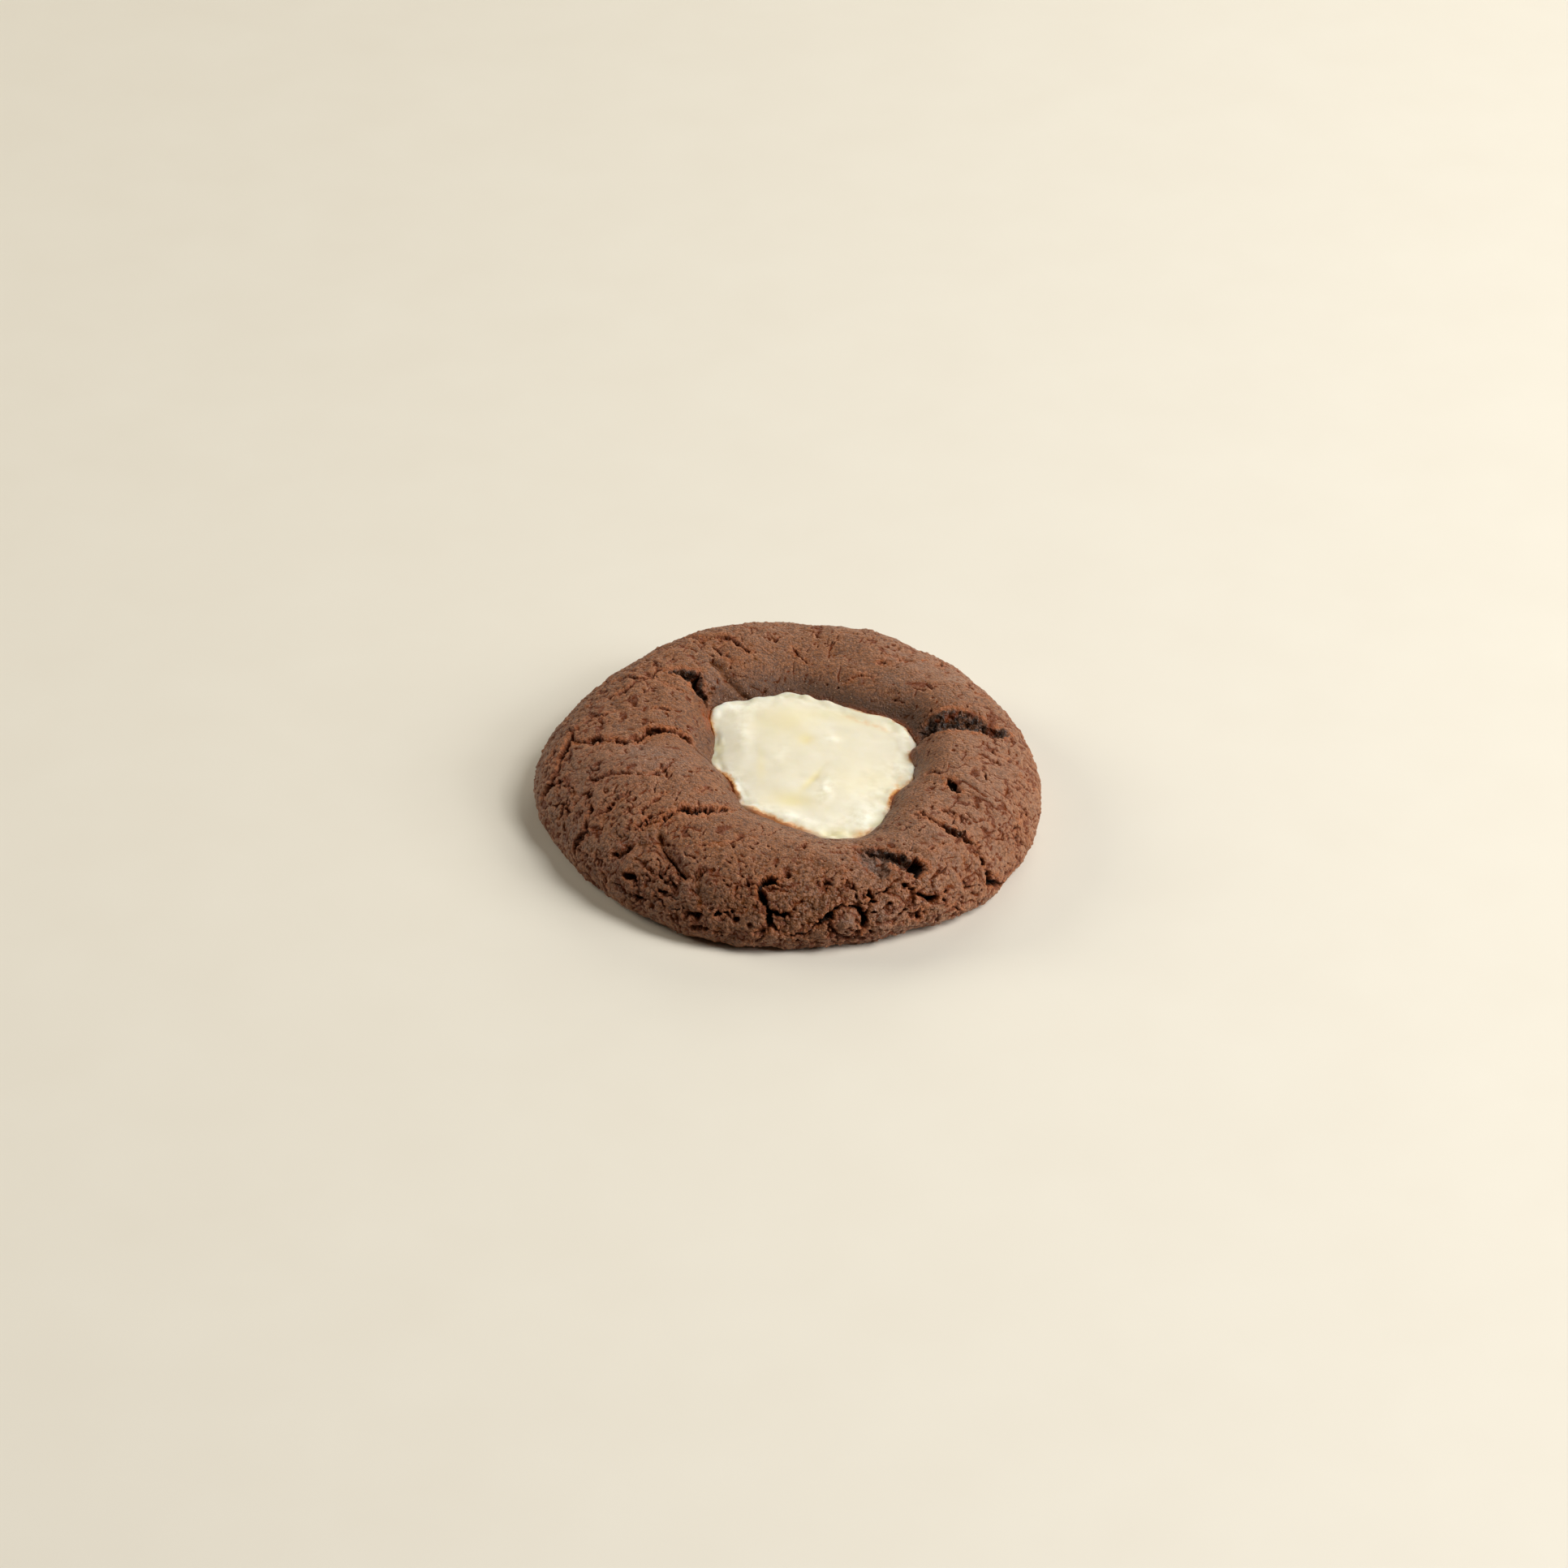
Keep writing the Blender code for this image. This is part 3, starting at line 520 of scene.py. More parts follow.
    def crack(self, half_width, depth, course, rise=0.0, lip=1.0, beaded=0.0):
        """Cuts one crack: ragged sides, a width that comes and goes, and one side lifted.

        beaded, from 0 to 1, breaks it up into a chain of pits with crumbs between them.
        """
        size = min(1.0, half_width / 0.45)
        where = self.window(course, FOLD_MARGIN if rise else 3 * half_width * MM + 2 * MM)
        distance, side, along = self.away_from(course, where, 0.35)
        width = half_width * MM * (0.35 + 0.65 * np.sin(np.pi * np.clip(along, 0.04, 0.96)) ** 0.5)
        width = width * np.clip(0.9 + 0.9 * self.broken[where], 0.12, 1.7)
        edge = distance + size * ((0.5 + 0.4 * beaded) * self.wander[where]
                                  + (0.4 + 0.8 * beaded) * self.ragged[where])
        cut = 1 - smooth_step(0.4 * width, 1.1 * width, edge)
        pitted = smooth_step(-0.35, 0.25, self.beads[where])
        cut = cut * (1 - 0.9 * beaded * (1 - pitted))
        self.cut_in(where, cut, 1.2 * depth * MM, edge, width, lip * size, size)
        if rise:
            self.out[where] += 0.5 * rise * MM * side * np.exp(-np.abs(distance) / FOLD_REACH)

    def gash(self, half_width, depth, course):
        """Tears open a gash: ragged edges, and a floor of moist crumb."""
        where = self.window(course, 3 * half_width * MM + 2 * MM)
        distance, _, along = self.away_from(course, where, 0.15)
        width = half_width * MM * (0.5 + 0.5 * np.sin(np.pi * np.clip(along, 0.05, 0.95)))
        edge = distance + 0.6 * self.wander[where] + 0.3 * self.ragged[where]
        cut = 1 - smooth_step(0.3 * width, 1.05 * width, edge)
        crumb = 1 + 0.35 * noise(self.plain[where], 1.3 * MM, 16) + 0.25 * self.lift[where]
        self.out[where] -= depth * MM * cut * crumb
        wet = smooth_step(0.5, 1.4, depth)
        raise_to(self.moist, where, wet * smooth_step(0.01, 0.12, cut))
        raise_to(self.loose, where, np.exp(-np.maximum(edge - width, 0) / (1.2 * MM)))
        rim = np.exp(-((edge - 1.1 * width) / (0.45 * MM)) ** 2) * (1 - smooth_step(0.0, 0.3, cut))
        raise_to(self.lip, where, rim)

    def groove(self, half_width, depth, course):
        """Presses a smooth furrow into the skin, without tearing it."""
        where = self.window(course, 3 * half_width * MM)
        distance, _, along = self.away_from(course, where, 0.0)
        width = half_width * MM * (0.6 + 0.4 * np.sin(np.pi * along))
        edge = distance + 0.5 * self.wander[where]
        self.out[where] -= depth * MM * np.exp(-(edge / width) ** 2)

    def pit(self, degrees, share, half_width, depth):
        where = self.window([(degrees, share)], 2.2 * half_width)
        turn = turn_from(self.turn[where], degrees)
        distance = np.hypot(turn * self.radius[where], (self.share[where] - share) * self.length[where])
        cut = 1 - smooth_step(0.3 * half_width, 1.1 * half_width, distance + 0.8 * self.ragged[where])
        self.out[where] -= depth * cut
        # The pit's inside is marked for painted shade.
        raise_to(self.hollow, where, 0.55 * cut)

    def stretched(self, round_size, across_size):
        """Places for noise whose features are longer one way than the other."""
        x = np.cos(self.turn) * MEAN_RADIUS / round_size
        y = np.sin(self.turn) * MEAN_RADIUS / round_size
        return np.stack([x, y, self.share * MEAN_LENGTH / across_size], -1)

    def patch(self, degrees, share, round_reach, across_reach):
        """1 in the middle of a patch of the ring, falling smoothly to 0 about a reach away."""
        x = turn_from(self.turn, degrees) * self.radius / round_reach
        y = (self.share - share) * self.length / across_reach
        return np.exp(-(x * x + y * y))

    def patches(self, table):
        return sum(strength * self.patch(degrees, share, round_reach * MM, across_reach * MM)
                   for degrees, share, round_reach, across_reach, strength in table)


def carve_swells(ring):
    """The broad unevenness of the dough, its humps and hollows."""
    ring.out += 0.30 * MM * noise(ring.plain, 7.0 * MM, 1) + 0.22 * MM * noise(ring.plain, 3.0 * MM, 2)
    for middle, across, reach, height in SWELLS:
        turn = turn_from(ring.turn, middle)
        distance = np.hypot(turn * ring.radius, (ring.share - across) * ring.length) / (reach * MM)
        ring.out += height * MM * np.exp(-distance**2)


def carve_fine_cracks(ring, draw):
    """Short cracks where the dough stretched: many down the outer side, fewer over the crest."""
    for _ in range(FINE_CRACKS):
        share = 0.10 + 0.83 * draw.random() ** 0.7
        degrees = 360 * draw.random()
        heading = draw.normal(0.2, 0.4)
        if draw.random() < 0.08 + 0.7 * np.cos(np.radians(degrees)) ** 2:
            heading += np.pi / 2
        long = draw.random() < 0.4 * share
        length = draw.uniform(2.4, 6.0) if long else draw.uniform(0.8, 2.4)
        half_width = draw.uniform(0.12, 0.26) * (0.45 + 0.8 * share)
        depth = draw.uniform(0.25, 0.7)
        course = [(degrees, share)]
        for _ in range(int(length / FINE_STEP) + 1):
            heading += draw.normal(0, 0.25)
            degrees += np.degrees(FINE_STEP * np.cos(heading) / FINE_RADIUS)
            share += FINE_STEP * np.sin(heading) / FINE_LENGTH
            course.append((degrees, float(np.clip(share, 0.02, 0.95))))
        ring.crack(half_width, depth, course, lip=0.6, beaded=0.5 if long else 0.85)


def carve_pits(ring, draw):
    for _ in range(PITS):
        share = draw.uniform(0.08, 0.95)
        ring.pit(360 * draw.random(), share, draw.uniform(0.12, 0.36) * MM, draw.uniform(0.12, 0.36) * MM)


def carve_creases(ring):
    """Webs of thin creases: stretch marks round the outer side, and finer ones everywhere."""
    outer = smooth_step(0.30, 0.62, ring.share)
    bend = 0.5 * noise(ring.plain, 2.4 * MM, 51)[..., None]
    for round_size, across_size, depth, thin, seed in (
        (1.3 * MM, 4.6 * MM, 0.20 * MM, 0.16, 52),
        (5.0 * MM, 1.6 * MM, 0.24 * MM, 0.13, 54),
        (2.6 * MM, 6.0 * MM, 0.28 * MM, 0.09, 56),
    ):
        web = noise(ring.stretched(round_size, across_size) + bend, 1.0, seed)
        web += 0.25 * ring.lift * ring.rough_side
        line = np.exp(-((web / thin) ** 2))
        shown = smooth_step(0.15, 0.5, noise(ring.plain, 1.9 * MM, seed + 1) + 0.45 * outer - 0.28)
        ring.out -= depth * line * shown
        # The creases are marked for painted shade.
        ring.hollow = np.maximum(ring.hollow, 0.5 * line * shown)


def carve_furrows(ring):
    """The wrinkled, glossy dough of the front and lower right."""
    furrows = noise(ring.stretched(1.1 * MM, 3.0 * MM), 1.0, 61) + 0.6 * noise(ring.plain, 1.3 * MM, 62)
    ring.gloss = np.maximum(ring.patch(278, 0.60, 9 * MM, 6 * MM), ring.patch(302, 0.66, 9 * MM, 8 * MM))
    ring.out += 0.20 * MM * furrows * ring.gloss


def carve_grain(ring):
    """The sandy surface, with crumbs that stand loose beside the cracks and in the gashes."""
    coarse = 0.55 + 0.25 * ring.rough_side + 0.65 * ring.patch(285, 0.60, 26 * MM, 14 * MM)
    ring.out += 0.17 * MM * noise(ring.plain, 2.1 * MM, 23) * coarse
    ring.out += 0.10 * MM * noise(ring.plain, 0.95 * MM, 21) * coarse
    ring.out += 0.08 * MM * noise(ring.plain, 0.5 * MM, 22) * coarse
    torn = np.maximum(ring.loose, 1.2 * ring.moist)
    rough = np.clip(torn + 0.25 * ring.rough_side + 0.3 * ring.gloss, 0, 1.2)
    crevice = 1 - smooth_step(0.0, 0.28, ring.gap)
    ring.out += rough * (0.16 * MM * ring.lift - 0.22 * MM * crevice)


def crumbled(ring, points):
    """The points pushed about a little where the dough is torn, so that its cracks have crumbly walls."""
    torn = np.maximum(ring.hollow, 1.3 * ring.moist) + 0.4 * ring.loose + 0.1 * ring.rough_side
    torn = np.clip(torn, 0, 1.3)
    broad = np.stack([noise(points, 1.0 * MM, seed) for seed in (71, 72, 73)], -1)
    fine = np.stack([noise(points, 0.5 * MM, seed) for seed in (74, 75, 76)], -1)
    return points + MM * torn[..., None] * (0.32 * broad + 0.18 * fine)


def blurred(field, reach):
    """The field averaged over a square patch, wrapped round the ring."""
    padded = np.concatenate([field[-reach:], field, field[:reach]], 0)
    total = np.cumsum(np.concatenate([np.zeros((1, field.shape[1])), padded], 0), 0)
    field = (total[2 * reach + 1:] - total[:-2 * reach - 1]) / (2 * reach + 1)
    padded = np.pad(field, ((0, 0), (reach, reach)), mode="edge")
    total = np.cumsum(np.concatenate([np.zeros((field.shape[0], 1)), padded], 1), 1)
    return (total[:, 2 * reach + 1:] - total[:, :-2 * reach - 1]) / (2 * reach + 1)


def placed(name, data):
    """A new object in the scene for a mesh, a light or a camera."""
    thing = bpy.data.objects.new(name, data)
    bpy.context.scene.collection.objects.link(thing)
    return thing


def grid_mesh(name, points, fields, first_middle, last_middle):
    """A mesh over a grid that runs round and round, with its ends closed to a middle point each."""
    columns, rows = points.shape[:2]
    places = points.reshape(-1, 3)
    column = np.arange(columns)
    following = (column + 1) % columns
    row = np.arange(rows - 1)
    a = (column[:, None] * rows + row[None, :]).ravel()
    b = (following[:, None] * rows + row[None, :]).ravel()
    quads = np.stack([a, a + 1, b + 1, b], 1)
    centre = np.full(columns, len(places))
    last = rows - 1
    near = np.stack([centre, column * rows, following * rows], 1)
    far = np.stack([centre + 1, following * rows + last, column * rows + last], 1)
    places = np.concatenate([places, [first_middle, last_middle]])
    loops = np.concatenate([quads.ravel(), near.ravel(), far.ravel()])
    sizes = np.concatenate([np.full(len(quads), 4), np.full(2 * columns, 3)])
    mesh = bpy.data.meshes.new(name)
    mesh.vertices.add(len(places))
    mesh.vertices.foreach_set("co", places.astype(np.float32).ravel())
    mesh.loops.add(len(loops))
    mesh.loops.foreach_set("vertex_index", loops.astype(np.int32))
    mesh.polygons.add(len(sizes))
    starts = np.concatenate([[0], np.cumsum(sizes)[:-1]])
    mesh.polygons.foreach_set("loop_start", starts.astype(np.int32))
    mesh.update(calc_edges=True)
    mesh.validate()
    for field_name, field in fields.items():
        values = np.concatenate([field.ravel(), np.zeros(2)]).astype(np.float32)
        mesh.attributes.new(field_name, "FLOAT", "POINT").data.foreach_set("value", values)
    mesh.shade_smooth()
    return placed(name, mesh)


def thinned(piece, triangles):
    """The piece with its mesh collapsed to about that many triangles, flattest places first."""
    now = sum(len(polygon.vertices) - 2 for polygon in piece.data.polygons)
    collapse = piece.modifiers.new("Collapse", "DECIMATE")
    collapse.ratio = min(1.0, triangles / now)
    bpy.context.view_layer.update()
    evaluated = piece.evaluated_get(bpy.context.evaluated_depsgraph_get())
    mesh = bpy.data.meshes.new_from_object(evaluated)
    piece.modifiers.clear()
    piece.data = mesh
    mesh.shade_smooth()
    return piece


def painted_sheen_field(ring):
    """Where painted bluish sheen lies on the skin, streaked across the ring."""
    streaks = noise(ring.stretched(0.6 * MM, 2.6 * MM), 1.0, 81)
    return ring.patches(PAINTED_SHEEN_PATCHES) * np.clip(0.7 + 0.7 * streaks, 0, 1.2)


def scorch_field(ring):
    """Where the dough is scorched beside the cream: at the back and the sides, not at the front."""
    beside = np.exp(-(np.maximum(ring.share, 0) * ring.length / (0.6 * MM)) ** 2)
    not_front = 1 - np.maximum(-np.sin(ring.turn), 0) ** 2
    corner = ring.patch(146, 0.05, 1.8 * MM, 1.0 * MM)
    return np.minimum(1, burnt_edge(ring.turn) * beside * not_front + corner)


def make_dough():
    """The ring of dough with all its relief, closed below by its flat underside, and its points."""
    draw = np.random.default_rng(SEED)
    ring = Ring(GRID_ANGLES, GRID_ROWS)
    carve_swells(ring)
    for crack in CRACKS.values():
        ring.crack(*crack)
    for seam in SEAMS.values():
        ring.crack(*seam, beaded=0.95)
    for gash in GASHES.values():
        ring.gash(*gash)
    for crack in THIN_CRACKS:
        ring.crack(*crack, beaded=0.6)
    for groove in GROOVES:
        ring.groove(*groove)
    for degrees, share, half_width, depth in DEEP_PITS:
        ring.pit(degrees, share, half_width * MM, depth * MM)
    carve_fine_cracks(ring, draw)
    carve_pits(ring, draw)
    carve_creases(ring)
    carve_furrows(ring)
    carve_grain(ring)
    fade = smooth_step(GRID_START, -0.05, ring.share) * smooth_step(1.0, 0.95, ring.share)
    points = crumbled(ring, ring.plain + ring.normal * (ring.out * fade)[..., None])
    points[..., :2] -= PLAN_CENTRE
    points[..., 2] = np.maximum(points[..., 2], 0.0)
    # The relief against its blurred self: the finish paints highlight on raised places and shade in sunk
    # ones.
    cavity = (ring.out - blurred(ring.out, FINE_BLUR)) / (0.10 * MM)
    cavity += 0.6 * (ring.out - blurred(ring.out, BROAD_BLUR)) / (0.25 * MM)
    fields = {
        "hollow": ring.hollow,
        "lip": ring.lip,
        "moist": ring.moist,
        "gloss": ring.gloss,
        "cavity": np.clip(cavity, -1, 1),
        "loose": ring.loose,
        # Seam: 1 at the cream's edge, falling to 0 a little way up the wall; the finish paints shade along
        # it.
        "seam": np.clip(1 - ring.share / 0.14, 0, 1),
        "scorch": scorch_field(ring),
        "dry_and_painted_light": np.minimum(1, ring.patches(DRY_AND_PAINTED_LIGHT_PATCHES)),
        "painted_shade": np.minimum(1, ring.patches(PAINTED_SHADE_PATCHES)),
        "painted_sheen": painted_sheen_field(ring),
    }
    piece = grid_mesh("dough", points, fields, (0, 0, FLOOR_HEIGHT), (0, 0, 0))
    return thinned(piece, DOUGH_TRIANGLES), points


def spots(x, y, table):
    """The sum of soft oval spots, each given by its place, reaches, turn and strength."""
    total = 0.0
    for middle_x, middle_y, reach_x, reach_y, turn, strength in table:
        cos, sin = math.cos(math.radians(turn)), math.sin(math.radians(turn))
        dx, dy = x - middle_x * MM, y - middle_y * MM
        u = (dx * cos + dy * sin) / (reach_x * MM)
        v = (dy * cos - dx * sin) / (reach_y * MM)
        total = total + strength * np.exp(-(u * u + v * v))
    return total


def burnt_edge(angle):
    """How burnt the cream's edge is at each angle, from the stretches where it touches the hot dough."""
    total = 0.0
    for degrees, reach, strength in BURNT_STRETCHES:
        turn = turn_from(angle, degrees)
        total = total + strength * np.exp(-((turn / np.radians(reach)) ** 4))
    return np.clip(total, 0, 1)


def way_to_dough(dough, radius, height):
    """How far each place of the cream lies from where the dough rises out of it, on the same spoke."""
    spokes = dough[::len(dough) // len(radius), :DOUGH_INNER_ROWS] + [*PLAN_CENTRE, 0]
    distance = np.maximum.accumulate(np.hypot(spokes[..., 0], spokes[..., 1]), axis=1)
    rise = np.array([np.interp(r, d, z) for r, d, z in zip(radius, distance, spokes[..., 2])]) - height
    first = np.where((rise > 0).any(1), (rise > 0).argmax(1), radius.shape[1] - 1)
    return np.take_along_axis(radius, first[:, None], 1) - radius


def make_cream(dough):
    """The cream's top, lumpy with a curdled rim, running just into the wall of the well."""
    angle = np.linspace(0, 2 * np.pi, CREAM_ANGLES, endpoint=False)[:, None]
    share = (np.linspace(0.012, 1.0, CREAM_ROWS) ** 0.8)[None, :] * CREAM_REACH
    well = around(angle, WELL_RADII)
    radius = share * well
    edge = around(angle, CREAM_EDGE_HEIGHTS)
    middle = CREAM_EDGE_HEIGHTS.mean() + CREAM_DOME
    x, y = radius * np.cos(angle), radius * np.sin(angle)
    flat = np.stack([x, y, 0 * x], -1)
    level = middle + (edge - middle) * np.minimum(share, 1) ** 2
    rim = smooth_step(0.70, 0.95, share)
    white_curd_and_highlight = np.clip(spots(x, y, CREAM_WHITE_AND_HIGHLIGHT), 0, 1)
    curdled = np.clip(rim + 0.6 * white_curd_and_highlight, 0, 1)
    swirl = flat + 1.2 * MM * np.stack([noise(flat, 4 * MM, 36), noise(flat, 4 * MM, 37), 0 * x], -1)
    lumps = 0.08 * MM * noise(swirl, 3.2 * MM, 31)
    lumps += 0.42 * MM * spots(swirl[..., 0], swirl[..., 1], CREAM_LUMPS)
    curd = 0.06 * MM * noise(flat, 1.9 * MM, 33) + 0.02 * MM * noise(flat, 1.0 * MM, 34)
    scallop = 0.40 * MM * noise(flat, 1.8 * MM, 38) * smooth_step(0.84, 0.97, share)
    height = level + lumps + curd * curdled + scallop - 0.8 * MM * smooth_step(0.99, CREAM_REACH, share)
    browned = FRONT_BROWNING * np.maximum(-np.sin(angle), 0) ** 2
    inward = (way_to_dough(dough, radius, height) - browned) / MM
    points = np.stack([x, y, height], -1)
    skirt = points[:, -1:].copy()
    skirt[..., 2] -= SKIRT_DEPTH
    points = np.concatenate([points, skirt], 1)
    points[..., :2] -= PLAN_CENTRE
    # The top against its blurred self; its dips get painted shade.
    rounded = (height - blurred(height, 4)) / (0.12 * MM)
    fields = {
        "white_curd_and_highlight": white_curd_and_highlight,
        "yellow": np.clip(spots(x, y, CREAM_YELLOW), 0, 1),
        "olive_and_shade": np.clip(spots(x, y, CREAM_OLIVE_AND_SHADE), 0, 1),
        "toast": np.clip(spots(x, y, CREAM_TOAST), 0, 1.3),
        "rim": rim + 0 * height,
        "inward": np.clip(inward, -1, 4),
        "burn": burnt_edge(angle) + 0 * height,
        "sunk_painted_shade": np.clip(-rounded, 0, 1),
    }
    fields = {name: np.concatenate([field, field[:, -1:]], 1) for name, field in fields.items()}
    return grid_mesh("cream", points, fields, points[:, 0].mean(0), points[:, -1].mean(0))


class Nodes:
    """Short calls for building one material's node tree."""

    def __init__(self, name):
        self.material = bpy.data.materials.new(name)
        self.material.use_nodes = True
        self.tree = self.material.node_tree
        self.shader = self.tree.nodes["Principled BSDF"]
        self.place = self.tree.nodes.new("ShaderNodeTexCoord").outputs["Object"]

    def put(self, value, socket):
        if isinstance(value, bpy.types.NodeSocket):
            self.tree.links.new(value, socket)
        else:
            socket.default_value = value

    def give(self, name, value):
        """Sets an input of the shader, or links a node's output to it."""
        self.put(value, self.shader.inputs[name])

    def add(self, kind, result, inputs, **settings):
        """An output of a new node of a kind, with its settings and inputs."""
        node = self.tree.nodes.new("ShaderNode" + kind)
        for name, setting in settings.items():
            setattr(node, name, setting)
        for socket, value in inputs.items():
            self.put(value, node.inputs[socket])
        return node.outputs[result]

    def attribute(self, name):
        return self.add("Attribute", "Fac", {}, attribute_name=name)

    def grain(self, size, detail=3.0, roughness=0.55):
        """Noise from 0 to 1 with features about size across."""
        inputs = {"Vector": self.place, "Scale": 1 / size, "Detail": detail, "Roughness": roughness}
        return self.add("TexNoise", "Fac", inputs)

    def dots(self, size):
        return self.add("TexVoronoi", "Distance", {"Vector": self.place, "Scale": 1 / size})

    def fit(self, value, low, high, new_low=0.0, new_high=1.0):
        ends = {"From Min": low, "From Max": high, "To Min": new_low, "To Max": new_high}
        return self.add("MapRange", "Result", {"Value": value, **ends})

    def math(self, operation, first, second):
        return self.add("Math", 0, {0: first, 1: second}, operation=operation)

    def times(self, first, second):
        return self.math("MULTIPLY", first, second)

    def mix(self, share, first, second):
        return self.add("Mix", 2, {"Factor": share, 6: first, 7: second}, data_type="RGBA")

    def tint(self, colour, share, strength, *other):
        """The colour with a share of another one in it, which is given as it looks on screen."""
        return self.mix(self.times(share, strength), colour, rgb(*other))

    def flecks(self, name, size, low, high, detail=3.0):
        """A field of the grid, broken up by noise."""
        return self.times(self.attribute(name), self.fit(self.grain(size, detail), low, high))

    def bump(self, height, distance, strength=1.0, before=None):
        inputs = {"Height": height, "Distance": distance, "Strength": strength}
        if before is not None:
            inputs["Normal"] = before
        return self.add("Bump", "Normal", inputs)


def rgb(red, green, blue):
    """A colour given as it looks on screen, 0 to 255, in the linear values that a shader takes."""
    def linear(value):
        value = value / 255
        return value / 12.92 if value <= 0.04045 else ((value + 0.055) / 1.055) ** 2.4
    return (linear(red), linear(green), linear(blue), 1.0)


def dough_material():
    """Matt cocoa dough: mottled brown, sandy, rusty along the lips of its cracks, with painted shade dark
    in its cracks, pits, dips and beside the cream, painted highlights, glints and bluish sheen, and paler
    patches that are partly painted light.
    """
    n = Nodes("baked_dough_finish")
    patches = n.fit(n.grain(7 * MM, 4.0), 0.35, 0.65)
    colour = n.mix(patches, rgb(107, 58, 22), rgb(134, 76, 33))
    mottle = n.fit(n.grain(2.0 * MM, 4.0, 0.6), 0.40, 0.60)
    colour = n.tint(colour, mottle, 0.5, 88, 46, 23)
    pale = n.fit(n.grain(3.2 * MM, 4.0, 0.6), 0.52, 0.68)
    colour = n.tint(colour, pale, 0.4, 164, 108, 72)
    sand = n.fit(n.grain(0.5 * MM, 2.0, 0.6), 0.38, 0.62)
    colour = n.mix(0.40, colour, n.mix(sand, rgb(56, 26, 9), rgb(200, 128, 68)))
    # Painted highlight: raised places of the relief are made lighter.
    raised_painted_highlight = n.fit(n.attribute("cavity"), 0.0, 0.9)
    colour = n.tint(colour, raised_painted_highlight, 0.42, 184, 124, 82)
    # Painted shade: sunk places of the relief are made darker.
    sunk_painted_shade = n.fit(n.attribute("cavity"), 0.0, -0.8)
    colour = n.tint(colour, sunk_painted_shade, 0.65, 72, 34, 14)
    pores = n.times(n.fit(n.dots(0.9 * MM), 0.28, 0.14), n.fit(n.grain(3 * MM), 0.38, 0.55))
    colour = n.tint(colour, pores, 0.85, 82, 38, 13)
    # Paler patches: partly drier dough, partly painted light on the sides that face the lamps.
    dry_and_painted_light = n.times(n.attribute("dry_and_painted_light"), n.fit(n.grain(2.4 * MM), 0.3, 0.6, 0.5, 1.0))
    colour = n.tint(colour, dry_and_painted_light, 0.36, 184, 138, 110)
    crumbs = n.flecks("loose", 0.9 * MM, 0.44, 0.60, 2.0)
    colour = n.tint(colour, crumbs, 0.6, 168, 94, 40)
    rust = n.flecks("lip", 1.3 * MM, 0.34, 0.52, 2.0)
    colour = n.tint(colour, rust, 0.8, 176, 96, 38)
    moist = n.mix(n.fit(n.grain(0.7 * MM, 3.0, 0.65), 0.42, 0.6), rgb(40, 20, 9), rgb(112, 70, 44))
    # Painted glints: pale specks on the moist crumb of the gashes.
    moist = n.mix(n.times(n.fit(n.dots(0.7 * MM), 0.18, 0.08), 0.7), moist, rgb(200, 168, 144))
    colour = n.mix(n.attribute("moist"), colour, moist)
    # Painted sheen: lighter bluish grey patches where smooth skin would reflect the lamps.
    painted_sheen = n.flecks("painted_sheen", 1.5 * MM, 0.25, 0.55)
    colour = n.tint(colour, painted_sheen, 0.55, 134, 106, 92)
    # Crack walls tinted rusty brown: partly crumb colour, partly painted shade.
    wall = n.fit(n.attribute("hollow"), 0.05, 0.3)
    colour = n.tint(colour, wall, 0.8, 124, 56, 18)
    # Painted shade: the insides of cracks, pits and creases go near black.
    colour = n.mix(n.fit(n.attribute("hollow"), 0.35, 0.85), colour, rgb(30, 12, 4))
    # Painted shade: darker along the foot of the wall beside the cream.
    colour = n.tint(colour, n.attribute("seam"), 0.45, 82, 46, 24)
    # Painted shade: darker patches on the wall behind the cream and low on the front.
    colour = n.tint(colour, n.attribute("painted_shade"), 0.7, 62, 37, 14)
    scorch = n.flecks("scorch", 1.2 * MM, 0.3, 0.5)
    colour = n.tint(colour, scorch, 0.95, 158, 72, 4)
    # Painted glints: small pale specks all over the dough.
    painted_glints = n.fit(n.dots(0.8 * MM), 0.16, 0.06)
    colour = n.tint(colour, painted_glints, 0.6, 226, 180, 142)
    n.give("Base Color", colour)
    rough = n.fit(n.grain(4 * MM), 0.3, 0.7, 0.42, 0.58)
    damp = n.times(n.attribute("moist"), 0.1)
    damp = n.math("ADD", damp, n.times(n.attribute("gloss"), 0.2))
    damp = n.math("ADD", damp, n.times(painted_sheen, 0.15))
    n.give("Roughness", n.math("SUBTRACT", rough, damp))
    n.give("Diffuse Roughness", 0.7)
    n.give("Sheen Weight", 0.085)
    n.give("Sheen Roughness", 0.4)
    n.give("Sheen Tint", (1.0, 0.90, 0.80, 1.0))
    deep = n.math("MAXIMUM", n.attribute("hollow"), n.times(sunk_painted_shade, 0.8))
    n.give("Specular IOR Level", n.fit(deep, 0.1, 0.7, 0.52, 0.05))
    coarse = n.bump(n.grain(0.6 * MM, 4.0, 0.65), 0.34 * MM)
    fine = n.bump(n.dots(0.36 * MM), 0.14 * MM, before=coarse)
    n.give("Normal", fine)
    return n.material


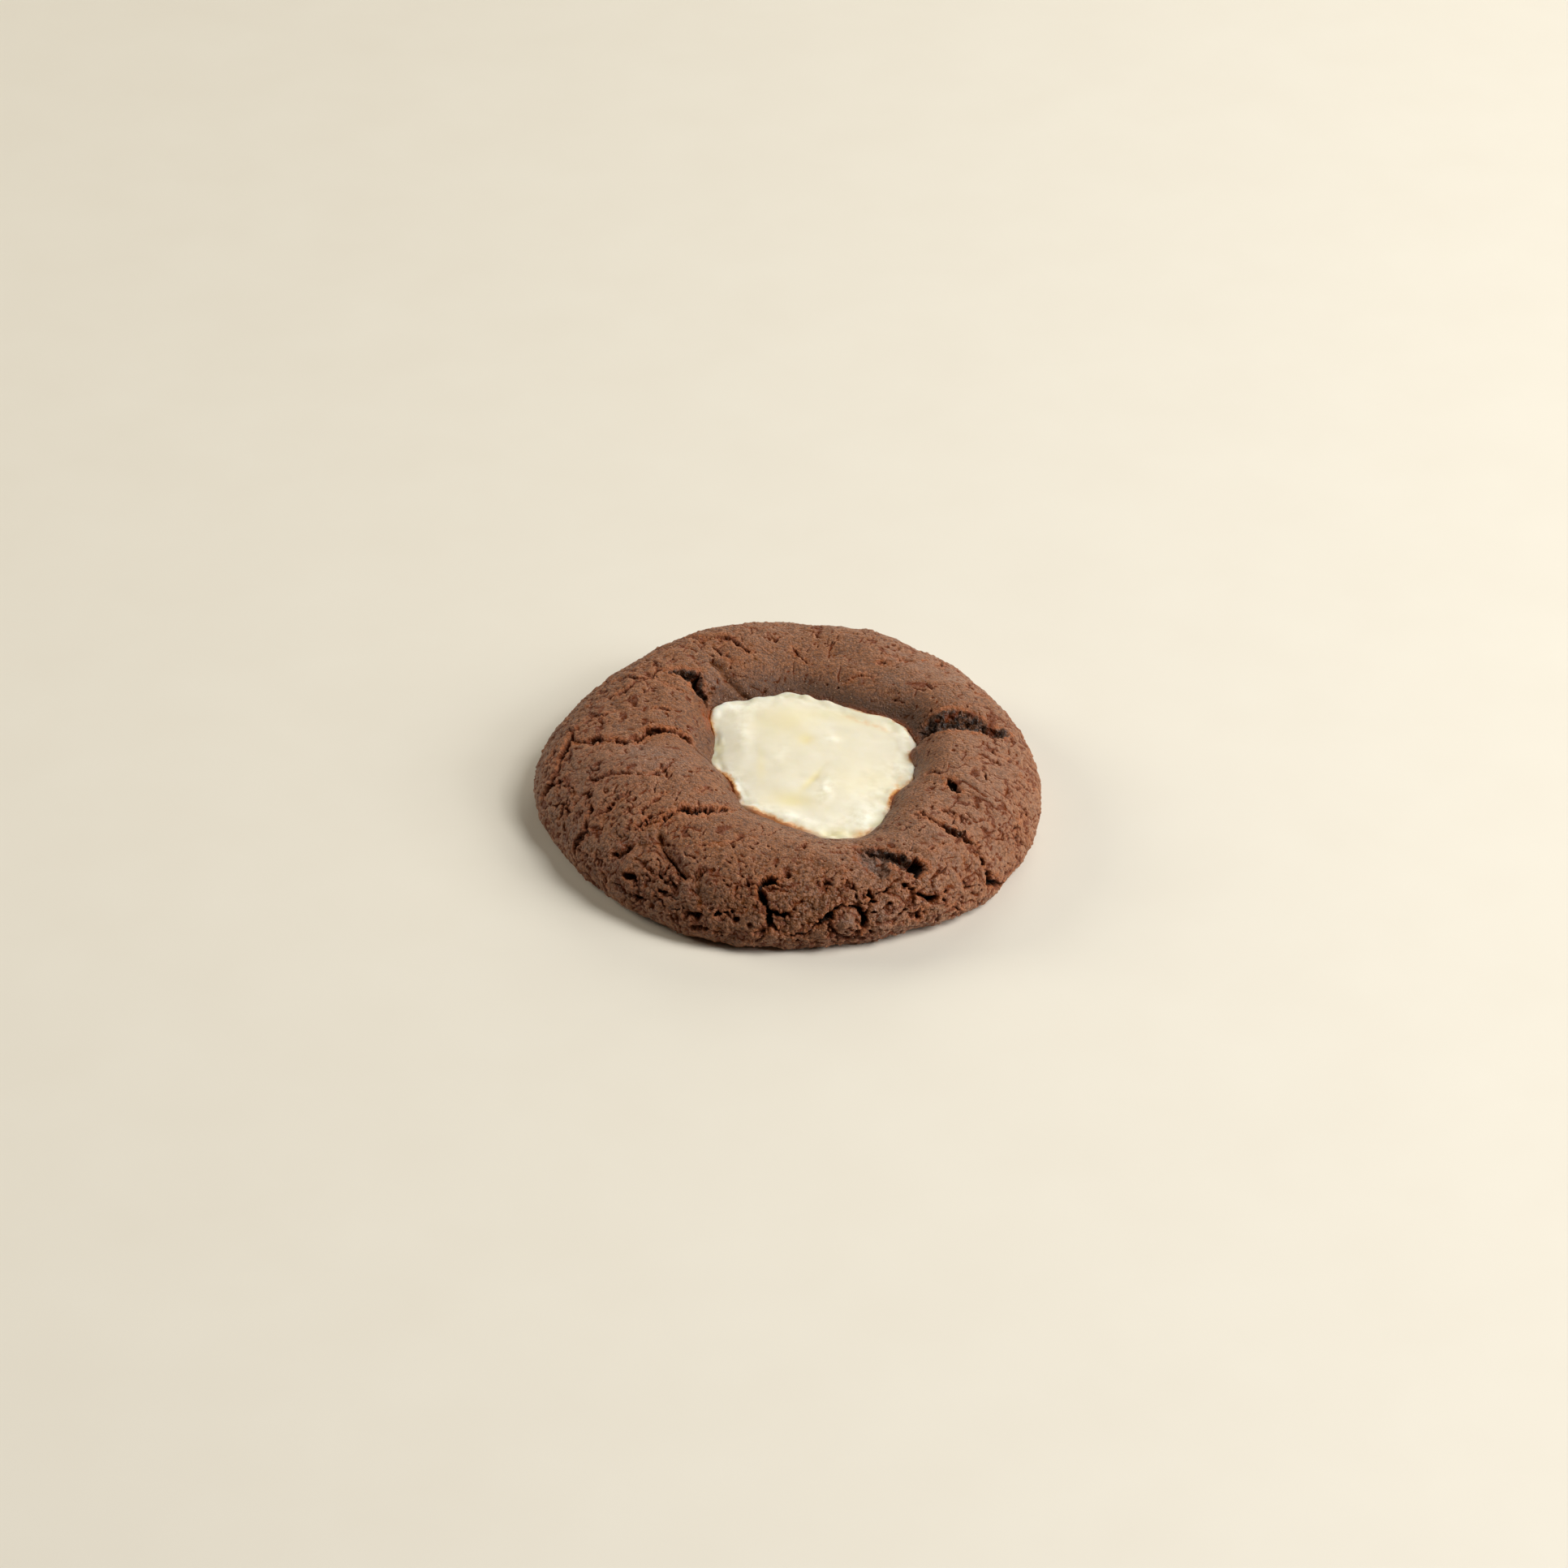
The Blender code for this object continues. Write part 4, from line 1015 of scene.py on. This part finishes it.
def cream_material():
    """Moist pale cream: whiter curd with one painted highlight, dips made yellower by painted shade, olive
    edges that are partly painted shade, and a toasted line by the dough.
    """
    n = Nodes("cream_finish")
    cloud = n.fit(n.grain(7 * MM), 0.38, 0.62)
    colour = n.mix(cloud, rgb(230, 222, 198), rgb(234, 227, 208))
    curd = n.fit(n.grain(1.8 * MM), 0.35, 0.6)
    # Whiter curd, with one painted highlight among its patches.
    white_curd_and_highlight = n.math("MAXIMUM", n.attribute("white_curd_and_highlight"), n.times(n.attribute("rim"), 0.35))
    colour = n.mix(n.times(white_curd_and_highlight, curd), colour, rgb(248, 243, 226))
    colour = n.tint(colour, n.attribute("yellow"), 0.75, 236, 222, 168)
    # Painted shade: the cream's dips are made yellower and a little darker.
    colour = n.tint(colour, n.attribute("sunk_painted_shade"), 0.25, 232, 220, 168)
    # Olive at the edges: partly translucent cream, partly painted shade.
    olive_and_shade = n.flecks("olive_and_shade", 2.5 * MM, 0.3, 0.55, 2.0)
    colour = n.tint(colour, olive_and_shade, 0.8, 218, 206, 154)
    stain = n.flecks("toast", 1.6 * MM, 0.35, 0.6)
    colour = n.tint(colour, stain, 0.65, 226, 166, 84)
    inward = n.math("ADD", n.attribute("inward"), n.fit(n.grain(1.2 * MM), 0.3, 0.7, -0.35, 0.35))
    burn = n.attribute("burn")
    amber = n.times(n.fit(inward, 0.9, 0.3), burn)
    colour = n.tint(colour, amber, 0.85, 222, 146, 48)
    burnt = n.times(n.fit(inward, 0.28, 0.02), burn)
    colour = n.tint(colour, burnt, 0.9, 150, 70, 18)
    n.give("Base Color", colour)
    n.give("Roughness", n.fit(n.grain(3 * MM), 0.3, 0.7, 0.45, 0.60))
    n.give("Specular IOR Level", 0.35)
    n.give("Subsurface Weight", 0.6)
    n.give("Subsurface Radius", (1.0, 0.8, 0.5))
    n.give("Subsurface Scale", 2.5 * MM)
    n.give("Normal", n.bump(n.grain(1.6 * MM, 3.0, 0.5), 0.04 * MM, 0.4))
    return n.material


def floor_material():
    """A plain pale surface, very slightly uneven."""
    n = Nodes("floor_finish")
    colour = n.mix(n.grain(20 * MM, 2.0), rgb(229, 222, 208), rgb(233, 227, 214))
    n.give("Base Color", colour)
    n.give("Roughness", 0.6)
    return n.material


def make_floor():
    mesh = bpy.data.meshes.new("floor")
    corners = [(x * FLOOR_HALF_WIDTH, y * FLOOR_HALF_WIDTH, -FLOOR_DROP)
               for x, y in ((-1, -1), (1, -1), (1, 1), (-1, 1))]
    mesh.from_pydata(corners, [], [(0, 1, 2, 3)])
    mesh.materials.append(floor_material())
    placed("floor", mesh)


def area_light(name, azimuth, elevation, size, watts, colour):
    """A soft round light that shines on the cookie from a direction given in degrees."""
    data = bpy.data.lights.new(name, "AREA")
    data.shape = "DISK"
    data.size = size
    data.energy = watts
    data.color = colour
    lamp = placed(name, data)
    turn, rise = math.radians(azimuth), math.radians(elevation)
    towards = Vector((math.cos(rise) * math.cos(turn), math.cos(rise) * math.sin(turn), math.sin(rise)))
    lamp.location = towards * LIGHT_DISTANCE
    lamp.rotation_euler = (-towards).to_track_quat("-Z", "Y").to_euler()


def make_light():
    """A tall bright window on the right, weaker light from behind and from the left, and a dim room."""
    for light in LIGHTS:
        area_light(*light)
    world = bpy.data.worlds.new("room")
    world.use_nodes = True
    background = world.node_tree.nodes["Background"]
    background.inputs["Color"].default_value = ROOM_COLOUR
    background.inputs["Strength"].default_value = ROOM_STRENGTH
    bpy.context.scene.world = world


def make_camera():
    data = bpy.data.cameras.new("camera")
    data.sensor_width = SENSOR_WIDTH
    data.lens = SENSOR_WIDTH * CAMERA_DISTANCE / VIEW_WIDTH
    data.clip_start = 0.01
    camera = placed("camera", data)
    aim = Vector(AIM) - Vector((*PLAN_CENTRE, 0))
    back = Vector((0, -math.cos(CAMERA_ELEVATION), math.sin(CAMERA_ELEVATION)))
    camera.location = aim + back * CAMERA_DISTANCE
    camera.rotation_euler = (-back).to_track_quat("-Z", "Y").to_euler()
    bpy.context.scene.camera = camera


def dress(piece, node, finish):
    """Gives a piece its finish and lets it stand for a solid."""
    piece.data.materials.clear()
    piece.data.materials.append(finish)
    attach(piece, "root")
    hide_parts(node)


bpy.context.scene.view_settings.view_transform = "Standard"
make_camera()
dough_piece, dough_points = make_dough()
dress(dough_piece, "cookie", dough_material())
dress(make_cream(dough_points), "filling", cream_material())
make_floor()
make_light()
